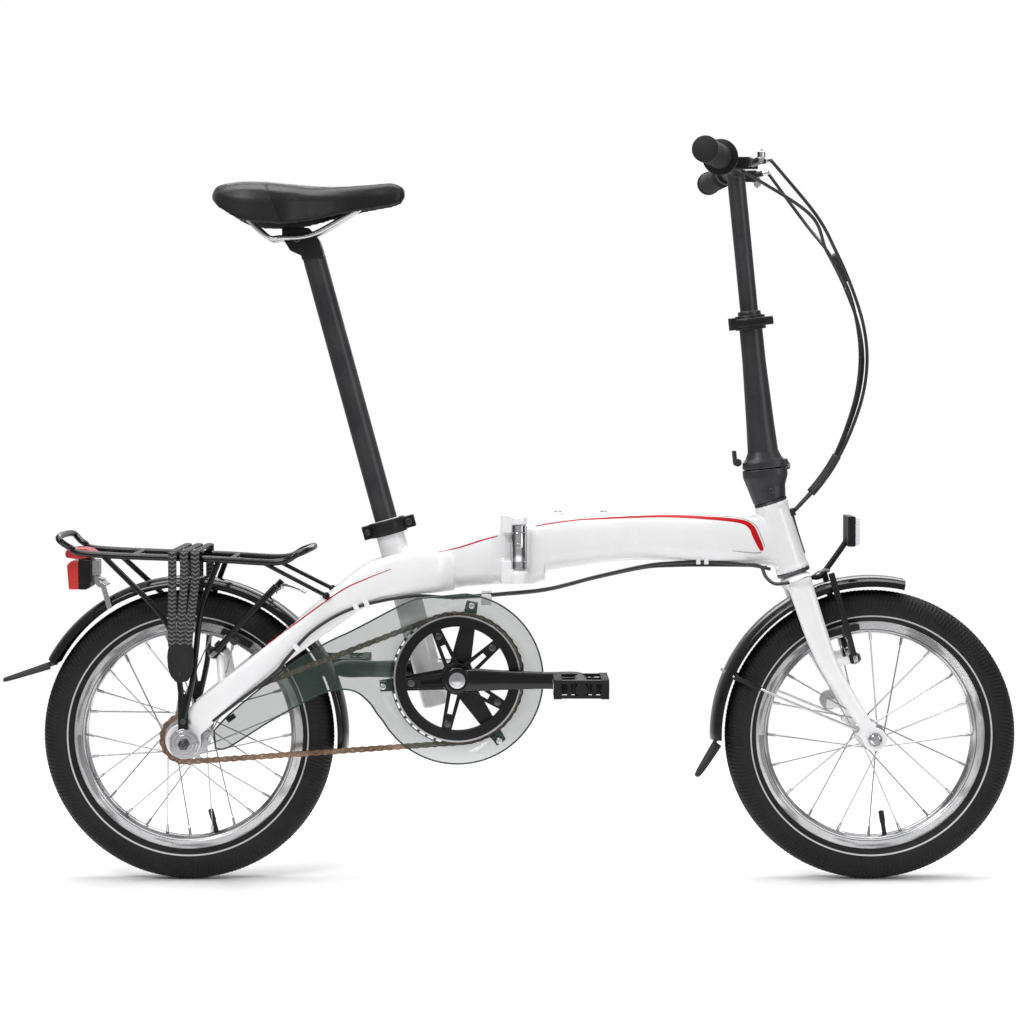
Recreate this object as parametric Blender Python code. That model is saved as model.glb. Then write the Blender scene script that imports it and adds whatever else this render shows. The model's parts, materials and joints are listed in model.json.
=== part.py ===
"""Folding bicycle with 16-inch wheels, as separate solids placed on their joints.

Metres, +Z up, +X towards the front wheel, -Y towards the chain side. The origin is on
the ground, at the middle of the length and in the plane of the wheels.
"""

import math

import bmesh
import bpy
from mathutils import Matrix, Vector

# ---------------------------------------------------------------- driving sizes
WHEELBASE = 0.950
TYRE_RADIUS = 0.2025
TYRE_HEIGHT = 0.0425
TYRE_WIDTH = 0.050
RIM_DEPTH = 0.0175
RIM_WIDTH = 0.023
FRONT_HUB_WIDTH = 0.100
REAR_HUB_WIDTH = 0.130
FRONT_SPOKES = 20
REAR_SPOKES = 28
AXLE_RADIUS = 0.005
FLAP_REACH = 0.2607  # rear hub to the tip of the rear mud flap
FENDER_GAP = 0.0200  # tyre to the outside of the fender
FENDER_WALL = 0.002
FENDER_WIDTH = 0.058
BRACKET_RISE = 0.0835  # bottom bracket above the hubs
BRACKET_AHEAD = 0.3754  # bottom bracket ahead of the rear hub
BRACKET_SHELL_RADIUS = 0.0205
BRACKET_SHELL_LENGTH = 0.068
SPINDLE_RADIUS = 0.0085
CRANK_LENGTH = 0.1675
CHAIN_PITCH = 0.0127
CHAINRING_TEETH = 44
SPROCKET_TEETH = 16
CHAIN_LINE = 0.045
DRIVER_INSIDE = 0.004
CHAIN_WIDTH = 0.007
CHAIN_HEIGHT = 0.0084
GUARD_RADIUS = 0.118
SEATPOST_RADIUS = 0.0159
SEATPOST_LENGTH = 0.550
SEAT_TUBE_RADIUS = 0.0195
SEAT_ANGLE = math.radians(15.2)  # from vertical, leaning back
SADDLE_LENGTH = 0.267
SADDLE_WIDTH = 0.150
HINGE_PIN_RADIUS = 0.0113
HINGE_PIN_HEIGHT = 0.0610
HINGE_SIDE = 0.040  # hinge pin's distance from the wheel plane, on the chain side
BOSS_SPACING = 0.064  # between the two bolt bosses on the front beam
HEAD_ANGLE = math.radians(18.3)  # from vertical, leaning back
HEAD_TUBE_LENGTH = 0.0990
HEAD_TUBE_RADIUS = 0.0225
STEERER_RADIUS = 0.0143
POST_ANGLE = math.radians(5.9)  # handlepost, from vertical, leaning back
POST_RADIUS = 0.0160
BAR_POST_RADIUS = 0.0125
BAR_POST_LENGTH = 0.2700
BAR_RADIUS = 0.0111
GRIP_RADIUS = 0.0165
BAR_REACH = 0.2800  # half the handlebar's width
BAR_YAW = math.radians(-4.9)
CABLE_RADIUS = 0.0025
CLEARANCE = 0.0003  # between pieces that touch
ROUND = 16  # sides of a round tube
WHEEL_STEPS = 40

# ---------------------------------------------------------------- derived places
REAR_X = (FLAP_REACH - WHEELBASE - TYRE_RADIUS) / 2
RIM_RADIUS = TYRE_RADIUS - TYRE_HEIGHT - CLEARANCE
RIM_INNER = RIM_RADIUS - RIM_DEPTH
FENDER_RADIUS = TYRE_RADIUS + FENDER_GAP
SIDE = Vector((0.0, 1.0, 0.0))
UP = Vector((0.0, 0.0, 1.0))


def rear(ahead, y, rise):
    """A place given from the rear hub."""
    return Vector((REAR_X + ahead, y, TYRE_RADIUS + rise))


def front(ahead, y, rise):
    """A place given from the front hub."""
    return Vector((REAR_X + WHEELBASE + ahead, y, TYRE_RADIUS + rise))


def leaning(angle):
    """The direction that leans back from vertical by this angle."""
    return Vector((-math.sin(angle), 0.0, math.cos(angle)))


REAR_HUB = rear(0, 0, 0)
FRONT_HUB = front(0, 0, 0)
BRACKET = rear(BRACKET_AHEAD, 0, BRACKET_RISE)
SEAT_DIRECTION = leaning(SEAT_ANGLE)
SEAT_TUBE_TOP = rear(0.2751, 0, 0.3005)
SEAT_TUBE_BOTTOM = SEAT_TUBE_TOP - 0.2687 * SEAT_DIRECTION
SEATPOST_TOP = SEAT_TUBE_TOP + 0.3765 * SEAT_DIRECTION
HINGE = rear(0.4597, -HINGE_SIDE, 0.2648)
HINGE_REAR_FACE = HINGE.x - CLEARANCE
HINGE_FRONT_FACE = HINGE.x + CLEARANCE
HEAD_DIRECTION = leaning(HEAD_ANGLE)
CROWN_GAP = 0.0312  # outside of the front fender to the head tube
HEAD_FROM_HUB = (FENDER_RADIUS + CROWN_GAP) * Vector((-0.4261, 0.0, 0.9047))
HEAD_BOTTOM = FRONT_HUB + HEAD_FROM_HUB
HEAD_TOP = HEAD_BOTTOM + HEAD_TUBE_LENGTH * HEAD_DIRECTION
POST_DIRECTION = leaning(POST_ANGLE)
POST_SPLIT = HEAD_TOP + Vector((-0.0090, 0.0, 0.0480))
POST_TOP = POST_SPLIT + 0.2195 * POST_DIRECTION
BAR_CENTRE = POST_SPLIT + 0.4185 * POST_DIRECTION
POST_HINGE_OFFSET = 0.0385
POST_HINGE_AXIS = (Vector((-1, 1, 0)) - Vector((-1, 1, 0)).dot(POST_DIRECTION) * POST_DIRECTION).normalized()
POST_HINGE_OUT = POST_HINGE_AXIS.cross(POST_DIRECTION).normalized()
POST_HINGE = POST_SPLIT + POST_HINGE_OFFSET * POST_HINGE_OUT
CHAINRING_PITCH_RADIUS = CHAIN_PITCH / 2 / math.sin(math.pi / CHAINRING_TEETH)
SPROCKET_PITCH_RADIUS = CHAIN_PITCH / 2 / math.sin(math.pi / SPROCKET_TEETH)

# the chain side's pieces, outwards from the wheel plane
CHAIN_OUTSIDE = CHAIN_LINE + CHAIN_WIDTH / 2
SPIDER_INSIDE = CHAIN_OUTSIDE + 0.0008
SPIDER_OUTSIDE = SPIDER_INSIDE + 0.0035
CRANK_INSIDE = SPIDER_OUTSIDE + 0.0040
CRANK_THICKNESS = 0.0150
CRANK_SPLAY = 0.0080
PEDAL_INSIDE = CRANK_INSIDE + CRANK_THICKNESS + CRANK_SPLAY + 0.0040
PEDAL_WIDTH = 0.0920
DROPOUT_INSIDE = REAR_HUB_WIDTH / 2 + CLEARANCE
DROPOUT_WALL = 0.0070
DROPOUT_OUTSIDE = DROPOUT_INSIDE + DROPOUT_WALL
BLADE_INSIDE = FRONT_HUB_WIDTH / 2 + CLEARANCE
BLADE_WALL = 0.0070

# ---------------------------------------------------------------- an empty scene
for leftover in list(bpy.data.objects):
    bpy.data.objects.remove(leftover)

hidden = bpy.data.collections.new("construction")
hidden.hide_render = True
bpy.context.scene.collection.children.link(hidden)

# ---------------------------------------------------------------- finishes
FINISHES = {
    "white_paint": ((0.86, 0.86, 0.87), 0.25, 0.0),
    "black_paint": ((0.012, 0.012, 0.013), 0.22, 0.0),
    "black_plastic": ((0.020, 0.020, 0.021), 0.50, 0.0),
    "black_rubber": ((0.022, 0.022, 0.022), 0.80, 0.0),
    "tyre": ((0.018, 0.018, 0.018), 0.85, 0.0),
    "graphite": ((0.050, 0.050, 0.055), 0.35, 0.6),
    "chrome": ((0.80, 0.80, 0.81), 0.10, 1.0),
    "silver": ((0.62, 0.62, 0.63), 0.25, 1.0),
    "chain_steel": ((0.21, 0.14, 0.11), 0.50, 0.8),
    "clear_plastic": ((0.62, 0.68, 0.64), 0.10, 0.0),
    "clear_lens": ((0.80, 0.82, 0.84), 0.10, 0.0),
    "red_lens": ((0.60, 0.02, 0.02), 0.15, 0.0),
    "saddle_skin": ((0.020, 0.020, 0.020), 0.55, 0.0),
    "woven_strap": ((0.030, 0.030, 0.032), 0.85, 0.0),
}


def finish_material(name):
    """The material of a finish, made when it is first asked for."""
    found = bpy.data.materials.get(name)
    if found:
        return found
    colour, roughness, metallic = FINISHES[name]
    material = bpy.data.materials.new(name)
    material.use_nodes = True
    shader = material.node_tree.nodes["Principled BSDF"]
    shader.inputs["Base Color"].default_value = (*colour, 1.0)
    shader.inputs["Roughness"].default_value = roughness
    shader.inputs["Metallic"].default_value = metallic
    return material


# ---------------------------------------------------------------- shapes
def loft(rings, closed=False):
    """Skin equal rings of points; the ends are capped unless the last ring meets the first."""
    shape = bmesh.new()
    layers = [[shape.verts.new(point) for point in ring] for ring in rings]
    pairs = list(zip(layers, layers[1:]))
    if closed:
        pairs.append((layers[-1], layers[0]))
    for here, there in pairs:
        for i in range(len(here)):
            j = (i + 1) % len(here)
            shape.faces.new((here[i], here[j], there[j], there[i]))
    if not closed:
        shape.faces.new(layers[0])
        shape.faces.new(layers[-1])
    bmesh.ops.recalc_face_normals(shape, faces=shape.faces)
    return shape


def oval(centre, across, up, steps, power=2.0):
    """A ring of points about centre: a superellipse on two half-axis vectors."""
    ring = []
    for i in range(steps):
        angle = 2 * math.pi * (i + 0.5) / steps
        c = math.cos(angle)
        s = math.sin(angle)
        a = math.copysign(abs(c) ** (2 / power), c)
        b = math.copysign(abs(s) ** (2 / power), s)
        ring.append(centre + a * across + b * up)
    return ring


def directions(points, closed=False):
    """The direction of a path at each of its points."""
    found = []
    last = len(points) - 1
    for i in range(len(points)):
        before = points[i - 1] if closed or i > 0 else points[0]
        after = points[(i + 1) % len(points)] if closed or i < last else points[last]
        found.append((after - before).normalized())
    return found


def tube(points, radius, steps=8, closed=False):
    """A round tube along a path, with one radius or one for each point."""
    points = [Vector(p) for p in points]
    radii = radius if isinstance(radius, (list, tuple)) else [radius] * len(points)
    headings = directions(points, closed)
    hint = SIDE if abs(headings[0].dot(SIDE)) < 0.9 else UP
    across = (hint - hint.dot(headings[0]) * headings[0]).normalized()
    rings = []
    for point, heading, r in zip(points, headings, radii):
        across = (across - across.dot(heading) * heading).normalized()
        rings.append(oval(point, r * across, r * heading.cross(across), steps))
    return loft(rings, closed)


def blade(stations, steps=10, power=2.6):
    """A flattened tube: stations are (centre, half height in the wheel plane, half thickness across it)."""
    centres = [s[0] for s in stations]
    rings = []
    for (centre, high, thick), heading in zip(stations, directions(centres)):
        flat = Vector((heading.x, 0, heading.z)).normalized()
        upright = Vector((-flat.z, 0, flat.x))
        rings.append(oval(centre, thick * SIDE, high * upright, steps, power))
    return loft(rings)


def turned(profile, centre, axis, steps=ROUND):
    """A solid turned about an axis: profile is (place along the axis, radius), both ends flat."""
    axis = axis.normalized()
    hint = UP if abs(axis.dot(UP)) < 0.9 else SIDE
    across = (hint - hint.dot(axis) * axis).normalized()
    other = axis.cross(across)
    rings = [oval(centre + along * axis, r * across, r * other, steps) for along, r in profile]
    return loft(rings)


def hoop(profile, centre, steps=WHEEL_STEPS, start=0.0, end=2 * math.pi):
    """A closed profile of (radius, y) swept in the wheel plane, all round or from start to end."""
    whole = end - start > 2 * math.pi - 1e-6
    count = steps if whole else steps + 1
    rings = []
    for i in range(count):
        angle = start + (end - start) * i / steps
        out = Vector((math.cos(angle), 0, math.sin(angle)))
        rings.append([centre + r * out + y * SIDE for r, y in profile])
    return loft(rings, closed=whole)


def plate(outline, low, high):
    """An outline of (x, z) points made solid between two values of y."""
    return loft([[Vector((x, y, z)) for x, z in outline] for y in (low, high)])


def slab(outline, low, high):
    """An outline of (x, y) points made solid between two heights."""
    return loft([[Vector((x, y, z)) for x, y in outline] for z in (low, high)])


def box(low, high):
    corners = [(low[0], low[2]), (high[0], low[2]), (high[0], high[2]), (low[0], high[2])]
    return plate(corners, low[1], high[1])


def oriented_box(centre, forward, across, half_sizes):
    """A box about centre, along forward, across, and the direction square to both."""
    forward = forward.normalized()
    across = (across - across.dot(forward) * forward).normalized()
    third = forward.cross(across)
    a, b, c = half_sizes
    corners = [(-b, -c), (b, -c), (b, c), (-b, c)]
    return loft([[centre + s * a * forward + u * across + v * third for u, v in corners] for s in (-1, 1)])


def arc(centre, radius, start, end, steps):
    """Points (x, z) along an arc in the wheel plane, angles in radians from +X towards +Z."""
    angles = [start + (end - start) * i / steps for i in range(steps + 1)]
    return [(centre.x + radius * math.cos(a), centre.z + radius * math.sin(a)) for a in angles]


def smooth_path(points, count):
    """Evenly spaced points on a Catmull-Rom curve through the route's own points."""
    route = [Vector(p) for p in points]
    padded = [2 * route[0] - route[1]] + route + [2 * route[-1] - route[-2]]
    fine = []
    for i in range(len(route) - 1):
        a, b, c, d = padded[i : i + 4]
        for k in range(12):
            t = k / 12
            turn = (c - a) * t + (2 * a - 5 * b + 4 * c - d) * t * t + (3 * b - a - 3 * c + d) * t**3
            fine.append(b + 0.5 * turn)
    fine.append(route[-1])
    lengths = [0.0]
    for here, there in zip(fine, fine[1:]):
        lengths.append(lengths[-1] + (there - here).length)
    even = []
    at = 0
    for k in range(count):
        want = lengths[-1] * k / (count - 1)
        while at < len(fine) - 2 and lengths[at + 1] < want:
            at += 1
        share = (want - lengths[at]) / (lengths[at + 1] - lengths[at])
        even.append(fine[at].lerp(fine[at + 1], share))
    return even


# ---------------------------------------------------------------- bodies and nodes
PIVOTS = {
    "rear_frame": REAR_HUB,
    "frame_latch": HINGE + Vector((0.0200, 2 * HINGE_SIDE - 0.0005, 0)),
    "seat_lever": SEAT_TUBE_TOP,
    "seatpost": SEAT_TUBE_TOP,
    "crank": BRACKET,
    "right_pedal": BRACKET + Vector((CRANK_LENGTH, -PEDAL_INSIDE, 0)),
    "left_pedal": BRACKET + Vector((-CRANK_LENGTH, PEDAL_INSIDE, 0)),
    "sprocket": REAR_HUB,
    "rear_wheel": REAR_HUB,
    "rear_brake_right": REAR_HUB,
    "rear_brake_left": REAR_HUB,
    "front_frame": HINGE,
    "fork": HEAD_BOTTOM,
    "front_wheel": FRONT_HUB,
    "front_brake_right": FRONT_HUB,
    "front_brake_left": FRONT_HUB,
    "handlepost": POST_HINGE,
    "post_latch": POST_SPLIT,
    "post_lever": POST_TOP,
    "bar": POST_TOP,
    "shifter": BAR_CENTRE,
    "right_lever": BAR_CENTRE,
    "left_lever": BAR_CENTRE,
}
PARENTS = {
    "frame_latch": "front_frame",
    "seat_lever": "rear_frame",
    "seatpost": "rear_frame",
    "crank": "rear_frame",
    "right_pedal": "crank",
    "left_pedal": "crank",
    "sprocket": "rear_frame",
    "rear_wheel": "rear_frame",
    "rear_brake_right": "rear_frame",
    "rear_brake_left": "rear_frame",
    "front_frame": "rear_frame",
    "fork": "front_frame",
    "front_wheel": "fork",
    "front_brake_right": "fork",
    "front_brake_left": "fork",
    "handlepost": "fork",
    "post_latch": "handlepost",
    "post_lever": "handlepost",
    "bar": "handlepost",
    "shifter": "bar",
    "right_lever": "bar",
    "left_lever": "bar",
}
empties = {}


def pivot_of(body):
    """The empty on a body's joint, parented to the body it moves on."""
    if body not in empties:
        empty = bpy.data.objects.new("pivot_" + body, None)
        empty.empty_display_size = 0.03
        bpy.context.scene.collection.objects.link(empty)
        empty.location = PIVOTS[body]
        if body in PARENTS:
            empty.parent = pivot_of(PARENTS[body])
            empty.matrix_parent_inverse = Matrix.Translation(-PIVOTS[PARENTS[body]])
        empties[body] = empty
    return empties[body]


def object_of(name, shape, collection):
    mesh = bpy.data.meshes.new(name)
    shape.to_mesh(mesh)
    shape.free()
    mesh.shade_smooth()
    mesh.set_sharp_from_angle(angle=math.radians(40))
    made = bpy.data.objects.new(name, mesh)
    collection.objects.link(made)
    return made


def combine(made, name, operation, shapes):
    """Add a Boolean that joins or cuts these shapes."""
    tools = bpy.data.collections.new(f"{name}_{operation.lower()}")
    hidden.children.link(tools)
    for number, shape in enumerate(shapes):
        tool = object_of(f"{name}_{operation.lower()}_{number}", shape, tools)
        tool.hide_render = True
        tool.display_type = "WIRE"
    modifier = made.modifiers.new(operation.title(), "BOOLEAN")
    modifier.operation = operation
    modifier.operand_type = "COLLECTION"
    modifier.collection = tools
    modifier.solver = "EXACT"


def node(name, finish, body, shape, joins=(), cuts=()):
    """One solid of the bicycle: a shape, what is joined to it and what is cut out of it."""
    made = object_of(name, shape, bpy.context.scene.collection)
    made.data.materials.append(finish_material(finish))
    if joins:
        combine(made, name, "UNION", joins)
    if cuts:
        combine(made, name, "DIFFERENCE", cuts)
    made.parent = pivot_of(body)
    made.matrix_parent_inverse = Matrix.Translation(-PIVOTS[body])
    return made


# ---------------------------------------------------------------- wheels
def make_wheel(end, hub, spokes, hub_width, barrel, flange, flange_y, chain_end):
    """Tyre, rim, spokes and hub of one wheel; the hub reaches as far as chain_end on the chain side."""
    body = end + "_wheel"
    bead = TYRE_RADIUS - TYRE_HEIGHT
    half = TYRE_WIDTH / 2
    right_side = [(bead, 0.56), (bead + 0.2 * TYRE_HEIGHT, 0.88), (bead + 0.5 * TYRE_HEIGHT, 1.0)]
    right_side += [(bead + 0.8 * TYRE_HEIGHT, 0.80), (TYRE_RADIUS, 0.25)]
    profile = [(r, half * share) for r, share in right_side]
    profile += [(r, -half * share) for r, share in reversed(right_side)]
    node(end + "_tyre", "tyre", body, hoop(profile, hub))

    rim = [(RIM_RADIUS, RIM_WIDTH / 2), (RIM_RADIUS - 0.011, RIM_WIDTH / 2), (RIM_INNER, RIM_WIDTH / 4)]
    rim += [(r, -y) for r, y in reversed(rim)]
    node(end + "_rim", "silver", body, hoop(rim, hub))

    node(end + "_spokes", "silver", body, spoke_cage(hub, spokes, flange, flange_y))

    end_y = hub_width / 2 - CLEARANCE
    shell = [(-end_y, 0.0095), (-flange_y - 0.006, 0.0105), (-flange_y - 0.0055, barrel)]
    shell += [(-flange_y - 0.0015, barrel), (-flange_y - 0.0015, flange), (-flange_y + 0.0015, flange)]
    shell += [(-flange_y + 0.004, barrel)]
    shell += [(-y, r) for y, r in reversed(shell)]
    shell[0] = (-chain_end, 0.0095)
    bore = turned([(-hub_width, AXLE_RADIUS + CLEARANCE), (hub_width, AXLE_RADIUS + CLEARANCE)], hub, SIDE)
    node(end + "_hub", "silver", body, turned(shell, hub, SIDE), cuts=[bore])


def spoke_cage(hub, count, flange, flange_y):
    """All the spokes of a wheel, joined at the rim by their ring of nipples."""
    shape = bmesh.new()
    outer = RIM_INNER - 0.0006
    inner = outer - 0.0012
    wide = 0.0022
    lean = math.radians(18)
    shares = []
    for k in range(count):
        middle = 2 * math.pi * k / count
        shares += [middle - wide / 2 / inner, middle + wide / 2 / inner]
    loops = []
    for angle in shares:
        out = Vector((math.cos(angle), 0, math.sin(angle)))
        corners = [(outer, -0.0015), (outer, 0.0015), (inner, 0.0010), (inner, -0.0010)]
        loops.append([shape.verts.new(hub + r * out + y * SIDE) for r, y in corners])
    feet = []
    for i, here in enumerate(loops):
        there = loops[(i + 1) % len(loops)]
        for j in range(4):
            k = (j + 1) % 4
            face = shape.faces.new((here[j], here[k], there[k], there[j]))
            if j == 2 and i % 2 == 0:
                feet.append(face)
    for k, face in enumerate(feet):
        side = -1 if k % 2 else 1
        angle = 2 * math.pi * k / count + side * lean
        out = Vector((math.cos(angle), 0, math.sin(angle)))
        place = hub + (flange + 0.0012) * out + side * flange_y * SIDE
        moved = bmesh.ops.extrude_discrete_faces(shape, faces=[face])["faces"][0]
        centre = moved.calc_center_median()
        for corner in moved.verts:
            corner.co += place - centre
    bmesh.ops.recalc_face_normals(shape, faces=shape.faces)
    return shape


make_wheel("front", FRONT_HUB, FRONT_SPOKES, FRONT_HUB_WIDTH, 0.0120, 0.0190, 0.0270,
           FRONT_HUB_WIDTH / 2 - CLEARANCE)
make_wheel("rear", REAR_HUB, REAR_SPOKES, REAR_HUB_WIDTH, 0.0230, 0.0300, 0.0280,
           CHAIN_LINE - DRIVER_INSIDE - CLEARANCE)


# ---------------------------------------------------------------- brake places
BRAKE_SPREAD = 0.0400
BRAKES = {  # hub, pivot from it, arm's angle and length, and the shoe's angle about the hub
    "rear": (REAR_HUB, (0.0394, 0.1184), math.radians(47.1), 0.1270, math.radians(63.4)),
    "front": (FRONT_HUB, (-0.0270, 0.1107), math.radians(105.8), 0.1227, math.radians(105.2)),
}


def brake_post(end, side, root):
    """The post behind a brake arm's boss, from its root on a stay or a fork blade."""
    hub, place, lean = BRAKES[end][:3]
    normal = Vector((-math.sin(lean), 0, math.cos(lean)))
    if end == "rear":
        normal = -normal
    pivot = hub + Vector((place[0], side * BRAKE_SPREAD, place[1]))
    tip = pivot + (0.0060 + CLEARANCE) * normal
    return tube([root, tip + 0.0060 * normal, tip], 0.0062, 8)


# ---------------------------------------------------------------- rear frame
def make_rear_frame():
    tube_end = [
        (0.4420, 0.2525, 0.0404, 0.0260),
        (0.3532, 0.2389, 0.0365, 0.0250),
        (0.2880, 0.2300, 0.0320, 0.0225),
    ]
    main = loft([oval(rear(x, 0, z), b * SIDE, a * UP, ROUND, 2.8) for x, z, a, b in tube_end])
    casting_height = HINGE_PIN_HEIGHT / 2 + 0.0110
    casting_x = [HINGE_REAR_FACE - 0.0270, HINGE_REAR_FACE - 0.0200, HINGE_REAR_FACE]
    casting_scale = [0.92, 1.0, 1.0]
    casting_middle = HINGE.z - 0.0120
    casting = loft(
        [
            oval(Vector((x, 0, casting_middle)), 0.0290 * s * SIDE, casting_height * s * UP, ROUND, 4.5)
            for x, s in zip(casting_x, casting_scale)
        ]
    )
    joins = [main]
    pin_top = HINGE.z + HINGE_PIN_HEIGHT / 2
    pin_bottom = HINGE.z - HINGE_PIN_HEIGHT / 2
    for low, high in ((pin_top + CLEARANCE, pin_top + 0.0145), (pin_bottom - 0.0200, pin_bottom - CLEARANCE)):
        centre = Vector((HINGE.x, HINGE.y, 0))
        joins.append(turned([(low, 0.0125), (high, 0.0125)], centre, UP))
        inner = -0.0120 if low > HINGE.z else 0.0120
        joins.append(box((HINGE.x - 0.0240, HINGE.y - 0.0050, min(low, low + inner)),
                         (HINGE_REAR_FACE, -0.0150, max(high, high + inner))))
    joins.append(turned([(0, SEAT_TUBE_RADIUS), (0.2687, SEAT_TUBE_RADIUS)], SEAT_TUBE_BOTTOM, SEAT_DIRECTION))
    half = BRACKET_SHELL_LENGTH / 2
    joins.append(turned([(-half, BRACKET_SHELL_RADIUS), (half, BRACKET_SHELL_RADIUS)], BRACKET, SIDE))
    web = [(-0.040, -0.018), (-0.040, 0.018), (-0.004, 0.018), (-0.004, -0.018)]
    joins.append(plate([(BRACKET.x + x, BRACKET.z + z) for x, z in web], -0.0140, 0.0140))
    for side in (-1, 1):
        stations = [
            (rear(0.3579, side * 0.0315, 0.2295), 0.0270, 0.0090),
            (rear(0.3480, side * 0.0330, 0.2300), 0.0300, 0.0110),
            (rear(0.2709, side * 0.0390, 0.2210), 0.0275, 0.0110),
            (rear(0.2359, side * 0.0450, 0.2035), 0.0215, 0.0100),
            (rear(0.1482, side * 0.0560, 0.1346), 0.0185, 0.0085),
            (rear(0.0510, side * (DROPOUT_INSIDE + 0.0010), 0.0572), 0.0190, 0.0070),
            (rear(0.0100, side * (DROPOUT_INSIDE + DROPOUT_WALL / 2), 0.0220), 0.0190, 0.0030),
        ]
        joins.append(blade(stations))
        plate_y = (side * DROPOUT_INSIDE, side * DROPOUT_OUTSIDE)
        joins.append(turned([(min(plate_y), 0.0245), (max(plate_y), 0.0245)], REAR_HUB, SIDE))
        joins.append(brake_post("rear", side, rear(0.0540, side * 0.0620, 0.0640)))
    joins.append(tube([rear(0.2109, -0.0480, 0.1850), rear(0.2109, 0.0480, 0.1850)], 0.0070, 8))
    cuts = [
        turned([(-0.01, SEATPOST_RADIUS + CLEARANCE), (0.30, SEATPOST_RADIUS + CLEARANCE)],
               SEAT_TUBE_BOTTOM, SEAT_DIRECTION),
        turned([(-0.05, 0.0172), (0.05, 0.0172)], BRACKET, SIDE),
        turned([(-0.10, AXLE_RADIUS + CLEARANCE), (0.10, AXLE_RADIUS + CLEARANCE)], REAR_HUB, SIDE),
        turned([(pin_bottom - CLEARANCE, HINGE_PIN_RADIUS + CLEARANCE),
                (pin_top + CLEARANCE, HINGE_PIN_RADIUS + CLEARANCE)], Vector((HINGE.x, HINGE.y, 0)), UP),
    ]
    node("rear_frame", "white_paint", "rear_frame", casting, joins, cuts)


make_rear_frame()

node(
    "hinge_pin", "chrome", "rear_frame",
    turned([(-HINGE_PIN_HEIGHT / 2, HINGE_PIN_RADIUS), (HINGE_PIN_HEIGHT / 2, HINGE_PIN_RADIUS)], HINGE, UP),
)
node(
    "bottom_bracket", "silver", "rear_frame",
    turned([(-0.0350, 0.0168), (0.0350, 0.0168)], BRACKET, SIDE),
    cuts=[turned([(-0.05, SPINDLE_RADIUS + CLEARANCE), (0.05, SPINDLE_RADIUS + CLEARANCE)], BRACKET, SIDE)],
)


def make_seat_clamp():
    low = -0.0215
    high = -0.0005
    collar = turned([(low, 0.0258), (high, 0.0258)], SEAT_TUBE_TOP, SEAT_DIRECTION)
    ahead = SEAT_DIRECTION.cross(SIDE) * -1
    ears = oriented_box(SEAT_TUBE_TOP + 0.030 * ahead - 0.011 * SEAT_DIRECTION, ahead, SIDE, (0.0085, 0.0090, 0.0085))
    tail = oriented_box(SEAT_TUBE_TOP - 0.029 * ahead - 0.011 * SEAT_DIRECTION, ahead, SIDE, (0.0070, 0.0085, 0.0100))
    bore = turned([(-0.05, SEAT_TUBE_RADIUS + CLEARANCE), (0.05, SEAT_TUBE_RADIUS + CLEARANCE)],
                  SEAT_TUBE_TOP, SEAT_DIRECTION)
    node("seat_clamp", "black_plastic", "rear_frame", collar, [ears, tail], [bore])

    hub = SEAT_TUBE_TOP + 0.030 * ahead + 0.0180 * SIDE - 0.011 * SEAT_DIRECTION
    cam = turned([(-0.0080, 0.0080), (0.0080, 0.0080)], hub, SEAT_DIRECTION, 10)
    route = [(0.000, 0.0040), (-0.012, 0.0130), (-0.034, 0.0165), (-0.058, 0.0140)]
    arm = [hub + a * ahead + b * SIDE for a, b in route]
    rings = []
    for point, heading in zip(arm, directions(arm)):
        rings.append(oval(point, 0.0030 * heading.cross(SEAT_DIRECTION), 0.0065 * SEAT_DIRECTION, 8, 3.0))
    PIVOTS["seat_lever"] = hub
    node("seat_clamp_lever", "black_plastic", "seat_lever", cam, [loft(rings)])


make_seat_clamp()

# ---------------------------------------------------------------- seatpost and saddle
node(
    "seatpost", "graphite", "seatpost",
    turned([(-SEATPOST_LENGTH, SEATPOST_RADIUS), (0, SEATPOST_RADIUS)], SEATPOST_TOP, SEAT_DIRECTION),
)
SADDLE_CENTRE = SEATPOST_TOP + Vector((-0.0065, 0, 0.1033))  # mid-length, at the highest part of its top


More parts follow.
